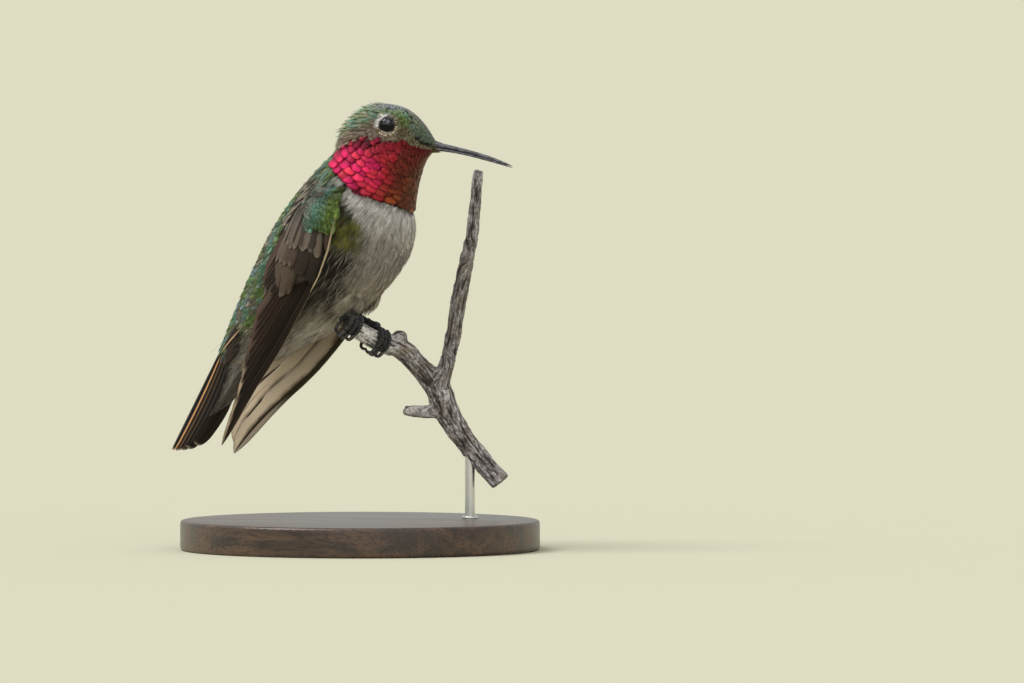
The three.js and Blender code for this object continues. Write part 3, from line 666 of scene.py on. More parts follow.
def back_colour(points, along, degrees, chance):
    """Grey-brown shoulders, a green back with teal and blue glints, a bluish rump."""
    drift = chance - 0.5
    green = smoothstep(-0.35, 0.15, patches(points, 3.4, 3) + 0.4 * drift) * smoothstep(0.46, 0.60, along)
    neck = np.maximum(smoothstep(0.50, 0.44, along), smoothstep(34, 46, degrees) * smoothstep(0.57, 0.52, along))
    colour = blend(BACK_GREY, BACK_GREEN, np.maximum(0.9 * green, 0.8 * neck))
    glint = patches(points, 2.9, 4) + 0.35 * drift + 0.3 * neck + 0.25 * smoothstep(0.76, 0.9, along)
    colour = blend(colour, BACK_TEAL, 0.9 * smoothstep(0.05, 0.5, glint))
    blue = smoothstep(0.35, 0.7, patches(points, 2.4, 5) + 0.3 * drift) * smoothstep(0.58, 0.66, along)
    colour = blend(colour, BACK_BLUE, 0.85 * blue)
    colour = blend(colour, BACK_DARK, 0.7 * smoothstep(0.16, 0.07, chance))
    # the tail's dark feathers begin at the sides of the rump
    return blend(colour, QUILL_BLACK, smoothstep(0.85, 0.88, along) * smoothstep(38, 46, degrees))


def body_colour(chart, along, round_, chance):
    """The plumage's colour at places on the body, with a chance number from 0 to 1 for each."""
    degrees = fold(round_)
    drift = chance - 0.5
    points = chart.at(along, round_)[0]
    crown = crown_colour(points, along, degrees, chance)
    colour = blend(crown, back_colour(points, along, degrees, chance), smoothstep(0.38, 0.46, along))
    # the breast is pale under the collar, browner to the belly, dark along the flank, grey at the vent
    breast = blend(COLLAR_WHITE, BREAST_GREY, smoothstep(0.49, 0.57, along + 0.05 * drift))
    breast = blend(breast, BELLY_BROWN, smoothstep(0.60, 0.74, along + 0.05 * drift))
    flank = smoothstep(0.585, 0.62, along) * smoothstep(0.82, 0.74, along) * smoothstep(148, 124, degrees + 22 * drift)
    breast = blend(breast, FLANK_DARK, 0.92 * flank)
    leg = smoothstep(9, 3, np.abs(degrees + 12 * drift - lookup(LEG_STREAK, along)))
    breast = blend(breast, FLANK_DARK, 0.85 * leg * smoothstep(0.60, 0.63, along) * smoothstep(0.785, 0.765, along))
    side = lookup(VENT_SIDE, along)
    vent = smoothstep(0.77, 0.82, along + 0.03 * drift) * smoothstep(side + 12, side + 32, degrees)
    breast = blend(breast, VENT_GREY, vent)
    breast = breast * (1 - 0.5 * smoothstep(0.81, 0.86, along) * smoothstep(128, 104, degrees))[..., None]
    under = smoothstep(side, side + 14, degrees + 14 * drift) * smoothstep(0.39, 0.42, along)
    collar = smoothstep(-4, 4, degrees + 8 * drift - lookup(COLLAR_END, along)) * smoothstep(0.42, 0.45, along)
    collar = collar * smoothstep(0.495, 0.475, along + 0.02 * drift - 0.0006 * (degrees - 46))
    colour = blend(colour, breast, np.maximum(under, collar))
    # an olive patch on the breast's side, in front of the wing
    olive = smoothstep(10, -5, degrees + 12 * drift - lookup(OLIVE_FRONT, along)) * smoothstep(60, 70, degrees)
    olive = olive * smoothstep(0.480, 0.495, along) * smoothstep(0.62, 0.59, along)
    lime = patches(points, 1.8, 9) + drift - 1.5 * smoothstep(0.54, 0.50, along)
    tone = blend(SIDE_DARK, SIDE_OLIVE, smoothstep(-0.6, 0.4, lime))
    return blend(colour, blend(tone, BACK_GREY, 0.7 * (chance > 0.8)), olive)


def gorget_colour(chart, along, round_, chance):
    """A painted magenta-red iridescent glint at the sides, deeper to the front, the bill and the upper border, rusty
    low on the front.
    """
    degrees = fold(round_)
    hue = patches(chart.at(along, round_)[0], 2.2, 8) + 0.8 * (chance - 0.5)
    # painted glint: the scales are brightest round the side and fade to deep red towards the front
    shade = degrees - lookup(GORGET_GLINT_REACH, along) + 10 * hue
    colour = blend(GORGET_GLINT_MAGENTA, GORGET_GLINT_SCARLET, smoothstep(-0.2, 0.6, hue))
    colour = blend(colour, GORGET_MID, smoothstep(-24, 10, shade))
    deep = blend(GORGET_DARK, GORGET_FRONT, smoothstep(132, 152, degrees))
    colour = blend(colour, deep, smoothstep(4, 32, shade))
    border = smoothstep(16, 2, degrees - lookup(GORGET_TOP, along)) * smoothstep(0.36, 0.30, along)
    colour = blend(colour, 0.4 * np.asarray(GORGET_MID), 0.8 * border)
    rust = smoothstep(0.28, 0.39, along) * smoothstep(116, 136, degrees)
    colour = blend(colour, GORGET_RUST, rust * (0.1 + 0.85 * smoothstep(0.45, 0.8, chance)))
    return colour * (0.6 + 0.7 * chance)[..., None]


# ---- laying feathers


def blade(outline, cup, across=3, shaft=0.03, under=0.0):
    """One feather's shape as a thin closed blade: (place along, half width) pairs from quill to tip.

    Its points are (across, along, height), where widths and heights are shares of its half width. With
    `under` it gets an underside of its own that far below, whose faces come last.
    """
    points, marks, faces, below = [], [], [], []
    rows = len(outline)
    for side in (0, 1) if under else (0,):
        for v, half in outline:
            for n, u in enumerate(np.linspace(-1, 1, across)):
                if side and n in (0, across - 1):
                    continue
                ridge = (shaft if abs(u) < 0.01 else 0) + cup * (1 - u * u) * half
                points.append((u * half, v, ridge if not side else -ridge * 0.6 - under * half))
                marks.append((u / 2 + 0.5, v))
    inner = across - 2

    def beneath(n, m):
        if m in (0, across - 1) or not under:
            return n * across + m
        return rows * across + n * inner + m - 1

    for n in range(rows - 1):
        for m in range(across - 1):
            a = n * across + m
            faces.append((a, a + 1, a + across + 1, a + across))
        if under:
            for m in range(across - 1):
                below.append((beneath(n, m + 1), beneath(n, m), beneath(n + 1, m), beneath(n + 1, m + 1)))
        else:
            a, b = n * across, n * across + across - 1
            below.append((b, a, a + across, b + across))
    start, end = tuple(range(across))[::-1], tuple(range((rows - 1) * across, rows * across))
    if under:
        start = start + tuple(beneath(0, m) for m in range(1, across - 1))
        end = end + tuple(beneath(rows - 1, m) for m in range(1, across - 1))[::-1]
    return np.array(points), np.array(marks), faces, below, [start, end]


def tuft(strands, spread, slim, seed, bend=0.12, rings=((0.0, 1.0), (0.55, 0.85))):
    """A few fine barbs from one root, each a closed three-sided spike with rings of a place and a size."""
    rng = np.random.default_rng(seed)
    points, marks, faces = [], [], []
    for n in range(strands):
        aim = spread * (2 * (n + 0.5) / strands - 1) + rng.normal(0, 0.1)
        reach = 1 - 0.3 * abs(aim) - 0.2 * rng.random()
        sway = rng.normal(0, bend)
        first = len(points)
        for k, size in rings:
            x = aim * k**0.7 + sway * k * k
            for corner in (90, 210, 330):
                turn = math.radians(corner)
                points.append((x + slim * size * math.cos(turn), reach * k, slim * size * math.sin(turn)))
                marks.append((0.5 + x / 2, reach * k))
        points.append((aim + sway, reach, 0.0))
        marks.append((0.5 + aim / 2, reach))
        tip = len(points) - 1
        for ring in range(len(rings) - 1):
            for corner in range(3):
                a = first + ring * 3 + corner
                b = first + ring * 3 + (corner + 1) % 3
                faces.append((a, a + 3, b + 3, b))
        for corner in range(3):
            faces.append((tip - 3 + corner, tip, tip - 3 + (corner + 1) % 3))
        faces.append((first, first + 1, first + 2))
    return np.array(points), np.array(marks), faces, [], []


def with_rim(tints, pale):
    """Colours with a fourth number: how pale the feather's rim is, or how strong a quill's coloured edge."""
    return np.column_stack([tints, np.broadcast_to(pale, len(tints))])


class Plumage:
    """Feathers gathered for one joined piece, whose undersides may take a finish of their own."""

    def __init__(self, two_sided=False):
        self.two_sided = two_sided
        self.points, self.marks, self.bake, self.tints, self.faces, self.sides = [], [], [], [], [], []
        self.count = 0

    def add(self, shape, points, bake, tints):
        """Feathers of one shape, with all their points in mm, and one bake place and one colour each."""
        marks = shape[1]
        number, each = points.shape[:2]
        offset = self.count + np.arange(number) * each
        for side, faces in enumerate(shape[2:]):
            by_size = {}
            for face in faces:
                by_size.setdefault(len(face), []).append(face)
            for size, group in by_size.items():
                self.faces.append((offset[:, None, None] + np.array(group)[None]).reshape(-1, size))
                self.sides.append(np.full(len(self.faces[-1]), side))
        self.points.append(points.reshape(-1, 3))
        self.marks.append(np.broadcast_to(marks, (number, each, 2)).reshape(-1, 2))
        place = np.broadcast_to(bake[:, None], (number, each, 2)).copy()
        place += BAKE_PATCH * (np.broadcast_to(marks, place.shape) - 0.5)
        self.bake.append(place.reshape(-1, 2))
        self.tints.append(np.repeat(tints, each, axis=0))
        self.count += number * each

    def piece(self, name):
        """Makes one mesh of all the feathers so far."""
        points = np.concatenate(self.points) * MM
        tints = np.concatenate(self.tints)
        corners = np.concatenate([group.reshape(-1) for group in self.faces])
        sizes = np.concatenate([np.full(len(group), group.shape[1]) for group in self.faces])
        starts = np.concatenate([[0], np.cumsum(sizes)[:-1]])
        mesh = bpy.data.meshes.new(name)
        mesh.vertices.add(len(points))
        mesh.vertices.foreach_set("co", floats(points))
        mesh.loops.add(len(corners))
        mesh.loops.foreach_set("vertex_index", corners.astype(np.int32))
        mesh.polygons.add(len(sizes))
        mesh.polygons.foreach_set("loop_start", starts.astype(np.int32))
        set_map(mesh, "OFBake", np.concatenate(self.bake))
        set_map(mesh, "Vane", np.concatenate(self.marks))
        set_tint(mesh, tints if tints.shape[1] == 4 else with_rim(tints, 0.0))
        mesh.update(calc_edges=True)
        sides = np.concatenate(self.sides)
        mesh.polygons.foreach_set("use_smooth", (sides < 2) & ((sides == 0) | self.two_sided))
        if self.two_sided:
            mesh.polygons.foreach_set("material_index", (sides == 1).astype(np.int32))
        return new_object(name, mesh)


def rows_on(chart, spacing, width, seed, jitter, reach):
    """Staggered rows of places over a chart, with the rows and the places in them about so many mm apart."""
    rng = np.random.default_rng(seed)
    rows = chart.points.shape[0]
    along, round_ = [], []
    place, n = reach[0], 0
    while place <= reach[1]:
        row = int(np.clip(place, 0, 1) * (rows - 1))
        step = lookup(spacing, place) / np.linalg.norm(chart.layers[row, :, 6:9], axis=-1).mean()
        spread = np.linalg.norm(chart.layers[row, :, 9:12], axis=-1) * chart.round_step
        edge = np.concatenate([[0], np.cumsum(spread)])
        number = max(3, int(edge[-1] / lookup(width, place)))
        evenly = (np.arange(number) + 0.5 * (n % 2)) / number * edge[-1]
        evenly = evenly + rng.normal(0, jitter, number) * edge[-1] / number
        round_.append(np.interp(evenly, edge, np.linspace(0, 1, len(edge))))
        along.append(place + rng.normal(0, jitter, number) * step)
        place, n = place + step, n + 1
    return np.concatenate(along), np.concatenate(round_)


def bake_place(round_, along):
    """A place on the bake map, an unwrap round and along the body, with a margin."""
    return np.stack([0.03 + 0.94 * round_, 0.03 + 0.94 * np.clip(along, 0, 1)], -1)


def lay(plumage, chart, shape, along, round_, length, width, tints, rise, yaw=0, bow=0.0, bake=(0, 1)):
    """Lays feathers on a chart, each following its surface from the root at (along, round).

    Lengths and widths are in mm, yaw in degrees from the chart's own direction, and rise gives the height
    of root and tip over the surface. Bow lifts the middle.
    """
    along, round_ = np.asarray(along, float), np.asarray(round_, float)
    number = len(along)
    length, width, yaw, low, high, bow = (
        np.broadcast_to(np.asarray(value, float), number) for value in (length, width, yaw, rise[0], rise[1], bow)
    )
    _, normal, down, across = chart.at(along, round_)
    ahead = unit(down - normal * np.sum(down * normal, -1, keepdims=True))
    beside = np.cross(ahead, normal)
    turn = np.radians(yaw)[:, None]
    ahead, beside = ahead * np.cos(turn) + beside * np.sin(turn), beside * np.cos(turn) - ahead * np.sin(turn)
    u, v, h = shape[0].T
    reach = ahead[:, None] * (v[None] * length[:, None])[..., None]
    reach = reach + beside[:, None] * (u[None] * width[:, None] / 2)[..., None]
    # the reach in millimetres becomes a reach on the chart
    dd, da, aa = (np.sum(p * q, -1)[:, None] for p, q in ((down, down), (down, across), (across, across)))
    on_down, on_across = np.sum(reach * down[:, None], -1), np.sum(reach * across[:, None], -1)
    whole = dd * aa - da * da + 1e-9
    to_along = along[:, None] + (on_down * aa - on_across * da) / whole
    to_round = round_[:, None] + (on_across * dd - on_down * da) / whole
    surface, out, _, _ = chart.at(to_along, to_round)
    height = low[:, None] + (high - low)[:, None] * v[None] ** 1.2
    height = height + (bow[:, None] * 4 * v * (1 - v)) + h[None] * width[:, None] / 2
    made = surface + out * height[..., None]
    plumage.add(shape, made, bake_place(between(bake, round_ % 1.0), along), np.asarray(tints))


# ---- finishes


def rgb(*colour):
    return (*colour, 1.0)


class Finish:
    """A material being put together round one Principled shader."""

    def __init__(self, name, **values):
        self.material = bpy.data.materials.new(name)
        self.material.use_nodes = True
        self.nodes = self.material.node_tree.nodes
        self.links = self.material.node_tree.links
        self.shader = self.nodes["Principled BSDF"]
        for socket, value in values.items():
            self.shader.inputs[socket.replace("_", " ")].default_value = value

    def node(self, kind, inputs=None, **settings):
        made = self.nodes.new(kind)
        for name, value in settings.items():
            setattr(made, name, value)
        for name, value in (inputs or {}).items():
            if isinstance(value, bpy.types.NodeSocket):
                self.links.new(value, made.inputs[name])
            else:
                made.inputs[name].default_value = value
        return made

    @property
    def place(self):
        return self.node("ShaderNodeTexCoord").outputs["Object"]

    def noise(self, scale, detail=2.0, at=None, **inputs):
        inputs |= {"Vector": at or self.place, "Scale": scale, "Detail": detail}
        return self.node("ShaderNodeTexNoise", inputs).outputs[0]

    def attribute(self, name):
        return self.node("ShaderNodeAttribute", attribute_name=name).outputs

    def split(self, vector):
        return self.node("ShaderNodeSeparateXYZ", {0: vector}).outputs

    def vane(self):
        """The place across a feather and along it."""
        return self.split(self.node("ShaderNodeUVMap", uv_map="Vane").outputs[0])

    def barbs(self, group, count, slant):
        return self.node("ShaderNodeGroup", {"Count": count, "Slant": slant}, node_tree=group).outputs

    def cells(self, scale):
        return self.node("ShaderNodeTexVoronoi", {"Vector": self.place, "Scale": scale}).outputs[0]

    def stretched(self, *scale, turned=(0.0, 0.0, 0.0)):
        return self.node("ShaderNodeMapping", {"Vector": self.place, "Scale": scale, "Rotation": turned}).outputs[0]

    def math(self, operation, a, b=0.0, c=0.0):
        return self.node("ShaderNodeMath", {0: a, 1: b, 2: c}, operation=operation).outputs[0]

    def mix(self, share, a, b, kind="MIX"):
        a, b = (rgb(*colour) if isinstance(colour, tuple) else colour for colour in (a, b))
        made = self.node("ShaderNodeMix", {0: share, 6: a, 7: b}, data_type="RGBA", blend_type=kind)
        return made.outputs[2]

    def ramp(self, value, low, high, a=0.0, b=1.0):
        made = self.node("ShaderNodeMapRange", {0: value, 1: low, 2: high, 3: a, 4: b}, interpolation_type="SMOOTHSTEP")
        return made.outputs[0]

    def colour(self, socket):
        self.links.new(socket, self.shader.inputs["Base Color"])

    def bump(self, height, strength, distance):
        made = self.node("ShaderNodeBump", {"Height": height, "Strength": strength, "Distance": distance})
        self.links.new(made.outputs[0], self.shader.inputs["Normal"])

    def set(self, name, socket):
        self.links.new(socket, self.shader.inputs[name])


class Group(Finish):
    """A shared effect whose named inputs and outputs are numbers."""

    def __init__(self, name, inputs, outputs):
        self.tree = bpy.data.node_groups.new(name, "ShaderNodeTree")
        for label, value in inputs.items():
            socket = self.tree.interface.new_socket(label, in_out="INPUT", socket_type="NodeSocketFloat")
            socket.default_value = value
        for label in outputs:
            self.tree.interface.new_socket(label, in_out="OUTPUT", socket_type="NodeSocketFloat")
        self.nodes, self.links = self.tree.nodes, self.tree.links
        self.input = self.nodes.new("NodeGroupInput").outputs
        self.output = self.nodes.new("NodeGroupOutput").inputs


def barb_group():
    """The lines of barbs across a vane: their ridges, the rim, and the place along and across."""
    g = Group("barbs", {"Count": 30.0, "Slant": 6.0, "Unevenness": 0.4}, ("Ridge", "Rim", "Along", "Across"))
    side, along, _ = g.vane()
    across = g.math("MULTIPLY_ADD", side, 2.0, -1.0)
    out = g.math("ABSOLUTE", across)
    lines = g.math("MULTIPLY", along, g.input["Count"])
    lines = g.math("SUBTRACT", lines, g.math("MULTIPLY", out, g.input["Slant"]))
    lines = g.math("ADD", lines, g.math("MULTIPLY", g.noise(900.0), g.input["Unevenness"]))
    ridge = g.math("SINE", g.math("MULTIPLY", lines, 2 * math.pi))
    g.links.new(g.math("MULTIPLY_ADD", ridge, 0.5, 0.5), g.output["Ridge"])
    g.links.new(g.math("MAXIMUM", g.ramp(out, 0.80, 0.99), g.ramp(along, 0.86, 0.99)), g.output["Rim"])
    g.links.new(along, g.output["Along"])
    g.links.new(across, g.output["Across"])
    return g.tree


def plumage_finish(name, barbs, rim_edge_and_shadow, count, root_painted_shade=0.5, shaded=0.55, ridge=0.35, **values):
    """Coloured feathers with barb lines: painted shade darkens the root, and the rim is darkened as a dark edge and a
    painted shadow line.

    The tint's alpha says how pale the rim is.
    """
    f = Finish(name, **values)
    lines = f.barbs(barbs, count, 3.0)
    tint = f.attribute("tint")
    # painted shade: the root, covered by the feather above, is darkened
    root = f.ramp(lines["Along"], shaded - 0.5, shaded, 1.0, 0.0)
    colour = f.mix(root, tint["Color"], (root_painted_shade,) * 3, "MULTIPLY")
    # the rim is darkened, partly the feather's own dark edge and partly a painted shadow line between feathers
    colour = f.mix(lines["Rim"], colour, rim_edge_and_shadow, "MULTIPLY")
    colour = f.mix(f.math("MULTIPLY", lines["Rim"], tint["Alpha"]), colour, PALE_RIM)
    colour = f.mix(f.math("MULTIPLY", lines["Ridge"], ridge), colour, (0.25, 0.25, 0.25), "MULTIPLY")
    f.colour(colour)
    f.bump(lines["Ridge"], 0.35, 0.0001)
    return f.material


def quill_finish(name, barbs, near, far, outer_web, edge, edge_width, shaft, tip, outer_tip=None, inner_tip=None,
                 fade=(0.10, 0.60), worn=0.965, shaft_width=0.06, rooted=0.0, **values):
    """A flight feather: its inner web from the shaft outwards, outer web, edge line, shaft and worn tip."""
    f = Finish(name, **values)
    lines = f.barbs(barbs, 90.0, 9.0)
    across, along = lines["Across"], lines["Along"]
    tint = f.attribute("tint")
    patch = f.noise(160.0, 4.0)
    uneven = f.math("MULTIPLY_ADD", patch, 0.8, -0.4)
    inner = f.mix(f.ramp(f.math("ADD", across, uneven), *fade), near, far)
    if inner_tip:
        pale = f.math("MULTIPLY", f.ramp(along, 0.86, 0.93), f.ramp(across, 0.25, 0.45))
        pale = f.math("MULTIPLY", pale, f.ramp(tint["Fac"], 1.35, 1.1))
        inner = f.mix(pale, inner, inner_tip)
    inner = f.mix(f.ramp(along, 0.85, 0.35, 0.0, rooted), inner, near)
    outer = outer_web
    if outer_tip:
        outer = f.mix(f.ramp(along, 0.62, 0.80), outer, outer_tip)
    colour = f.mix(f.ramp(across, 0.05, -0.10), inner, outer)
    colour = f.mix(1.0, colour, tint["Color"], "MULTIPLY")
    rimmed = f.math("MULTIPLY", f.ramp(across, -1 + 2 * edge_width, -1 + edge_width), tint["Alpha"])
    colour = f.mix(rimmed, colour, edge)
    colour = f.mix(f.ramp(f.math("ADD", along, f.math("MULTIPLY", patch, 0.03)), worn, 1.02), colour, tip)
    line = f.ramp(f.math("ABSOLUTE", across), shaft_width * 1.6, shaft_width * 0.6)
    colour = f.mix(line, colour, shaft)
    colour = f.mix(f.math("MULTIPLY", lines["Ridge"], 0.25), colour, (0.3, 0.3, 0.3), "MULTIPLY")
    f.colour(colour)
    f.bump(f.math("ADD", lines["Ridge"], f.math("MULTIPLY", line, 3.0)), 0.4, 0.00012)
    return f.material


# ---- the plumage


def keep(chosen, *arrays):
    """The chosen members of several lists that run alike."""
    return [array[chosen] for array in arrays]


def tip_of(chart, along, round_, length):
    """The place along the body that a feather's tip reaches."""
    down = chart.at(along, round_)[2]
    return along + length / np.linalg.norm(down, axis=-1)


def clear_of_eye(chart, along, round_, tip, gap=1.8):
    """Whether feathers stay off the eye from root to tip."""
    clear = np.ones(len(along), bool)
    for k in (0.0, 0.5, 1.0):
        behind, above = eye_offset(chart.at(along + (tip - along) * k, round_)[0])
        clear &= np.hypot(behind, above) > gap
    return clear


def lay_gorget(chart):
    """The throat's round scales in staggered rows, overlapping like roof tiles, smallest at the chin."""
    plumage = Plumage()
    shape = blade([(0.0, 0.5), (0.4, 0.95), (0.65, 1.0), (0.82, 0.93), (0.92, 0.72), (0.98, 0.42), (1.0, 0.15)],
                  across=5, cup=0.02)
    rng = np.random.default_rng(31)
    spacing = [(0.0, 0.38), (0.1, 0.66), (0.22, 0.85), (0.36, 1.15), (0.45, 1.25)]
    width = [(0.0, 0.55), (0.1, 0.9), (0.22, 1.25), (0.36, 1.8), (0.45, 2.0)]
    along, round_ = rows_on(chart, spacing, width, seed=30, jitter=0.12, reach=(0.0, 0.49))
    chance = rng.random(len(along))
    length, wide = 2.5 * lookup(spacing, along), 1.55 * lookup(width, along) * rng.uniform(0.85, 1.1, len(along))
    degrees = fold(round_)
    tip = tip_of(chart, along, round_, 0.92 * length)
    top = degrees - lookup(GORGET_TOP, along + 0.4 * (tip - along))
    inside = top > rng.normal(-2, 1.5, len(along))
    inside &= tip < lookup(GORGET_END, degrees) + rng.normal(0.004, 0.003, len(along))
    inside &= clear_of_eye(chart, along, round_, tip, 2.4)
    # the scales along the upper border are smaller
    wide = wide * (0.62 + 0.38 * smoothstep(0, 9, top))
    length = length * (0.66 + 0.34 * smoothstep(0, 8, top))
    along, round_, chance, length, wide = keep(inside, along, round_, chance, length, wide)
    depth = lookup(COAT_DEPTH, along)
    lay(plumage, chart, shape, along, round_, length, wide, gorget_colour(chart, along, round_, chance),
        rise=(-0.4 * depth, 0.05 + 0.08 * chance), yaw=rng.normal(0, 8, len(along)), bow=0.04 * length)
    return plumage.piece("gorget_scales")


def lay_crown(chart):
    """Fine small feathers of the crown and face, finest round the bill and the eye, ruffled behind."""
    plumage = Plumage()
    rng = np.random.default_rng(41)
    spacing = [(-0.02, 0.24), (0.1, 0.34), (0.22, 0.44), (0.45, 0.58)]
    width = [(-0.02, 0.26), (0.1, 0.38), (0.22, 0.48), (0.45, 0.62)]
    along, round_ = rows_on(chart, spacing, width, seed=40, jitter=0.4, reach=(-0.016, 0.46))
    chance = rng.random(len(along))
    length = 3.4 * lookup(spacing, along) * rng.uniform(0.8, 1.2, len(along))
    degrees = fold(round_)
    tip = tip_of(chart, along, round_, 0.85 * length)
    chosen = (in_gorget(tip, degrees) < 0.004) & (in_gorget(along, degrees) < 0.01) & (degrees < 150)
    chosen &= ~((along > 0.43) & (degrees > 44)) & clear_of_eye(chart, along, round_, tip)
    along, round_, chance, tip, length, degrees = keep(chosen, along, round_, chance, tip, length, degrees)
    hind = smoothstep(0.12, 0.25, along) * smoothstep(52, 30, degrees) * smoothstep(0.39, 0.31, along)
    lift = 0.05 + 0.3 * rng.random(len(along)) ** 6 + hind * (1.5 + 1.2 * rng.random(len(along)) ** 2)
    length = length * (1 + 0.3 * hind)
    depth = lookup(COAT_DEPTH, along)
    tints = body_colour(chart, along + 0.6 * (tip - along), round_, chance)
    kind = rng.integers(0, 4, len(along))
    for n in range(4):
        shape = tuft(4, 0.8, 0.15, seed=400 + n)
        a, r, long_, tint, d, up, h = keep(kind == n, along, round_, length, tints, depth, lift, hind)
        lay(plumage, chart, shape, a, r, long_, 2.1 * lookup(width, a), tint, rise=((0.5 * h - 0.75) * d, up * d * 1.5),
            yaw=rng.normal(0, 13, len(a)), bow=0.03)
    # the feathering tapers on along the bill
    root, tip = turned_head(np.array([(14.5, 0, 80.85), (17.0, 0, 80.45)]), 1.0)
    sleeve = limb_chart([tip, (root + tip) / 2, root], [0.98, 1.12, 1.42])
    along, round_ = rows_on(sleeve, 0.2, 0.26, seed=43, jitter=0.4, reach=(0.08, 0.98))
    high = sleeve.at(along, round_)[1][:, 2]
    along, round_, high = keep(along > 0.45 - 0.4 * np.abs(high) + rng.normal(0, 0.06, len(along)), along, round_, high)
    chance = rng.random(len(along))
    upper, lower = blend(CROWN_GREEN, CROWN_MAUVE, chance), blend(LORE_OLIVE, EYE_CREAM, 0.5 * chance)
    tints = blend(lower, upper, smoothstep(-0.1, 0.3, high))
    tints = blend(tints, BACK_DARK, 0.7 * (chance < 0.25)) * 0.9
    lay(plumage, sleeve, tuft(4, 0.8, 0.15, seed=44), along, round_, 0.9, 0.5, tints, rise=(-0.08, 0.06),
        bake=(0.0, 0.02))
    return plumage.piece("crown_feathers")


def around_eye(chart, side, behind, above):
    """The chart's places that lie so many mm behind an eye's middle and above it."""
    level = turned_head(chart.points, -1.0)
    rows, columns = level.shape[:2]
    off = np.stack(eye_offset(chart.points), -1)
    off[level[..., 1] * side < 1.5] = 1e3
    wanted = np.stack([behind, above], -1)
    nearest = np.linalg.norm(wanted[:, None] - off.reshape(-1, 2)[None], axis=-1).argmin(1)
    along, round_ = (nearest // columns) / (rows - 1), (nearest % columns) / columns
    step = 0.004
    steps = ((0, 0), (step, 0), (0, step))
    here, ahead, beside = (np.stack(eye_offset(chart.at(along + a, round_ + r)[0]), -1) for a, r in steps)
    slopes = np.stack([ahead - here, beside - here], -1) / step
    moved = np.linalg.solve(slopes, (wanted - here)[..., None])[..., 0]
    return along + moved[:, 0], round_ + moved[:, 1]


def lay_eye_ring(chart):
    """Rings of tiny feathers round each eye: a beaded cream one, and a white patch above and behind."""
    plumage = Plumage()
    rng = np.random.default_rng(45)
    bead = blade([(0.0, 0.6), (0.4, 1.0), (0.8, 0.8), (1.0, 0.2)], cup=0.5)
    wisp = tuft(3, 0.6, 0.16, seed=46)
    # each ring's shape, its distance from the eye's middle, and its feathers' number, length and width
    rings = ((bead, 1.64, 24, 0.42, 0.30), (wisp, 1.76, 90, 0.7, 0.34), (wisp, 1.98, 80, 0.7, 0.34),
             (wisp, 2.25, 50, 0.8, 0.4))
    for side in (RIGHT, LEFT):
        for shape, reach, number, length, width in rings:
            angle = (np.arange(number) + 0.3 * rng.random(number)) / number * 2 * math.pi
            out = np.stack([np.cos(angle), np.sin(angle)], -1)
            hind = smoothstep(0.50, 0.78, np.cos(angle - math.radians(44)))
            if shape is not bead:
                chosen = (hind > 0.1) | ((rng.random(number) < 0.5) & (reach < 2))
                angle, out, hind = keep(chosen, angle, out, hind)
            roots = around_eye(chart, side, *(out * reach).T)
            tips = around_eye(chart, side, *(out * (reach + 0.3)).T)
            start, normal, down, _ = chart.at(*roots)
            way = chart.at(*tips)[0] - start
            ahead = unit(down)
            yaw = np.degrees(np.arctan2(np.sum(way * np.cross(ahead, normal), -1), np.sum(way * ahead, -1)))
            chance = rng.random(len(angle))
            cream = blend(BEAD_CREAM if shape is bead else EYE_CREAM, BEAD_BROWN, chance**2)
            lay(plumage, chart, shape, *roots, length, width, blend(cream, EYE_WHITE, hind), rise=(-0.05, 0.12),
                yaw=yaw + rng.normal(0, 8, len(angle)))
    return plumage.piece("eye_ring_feathers")


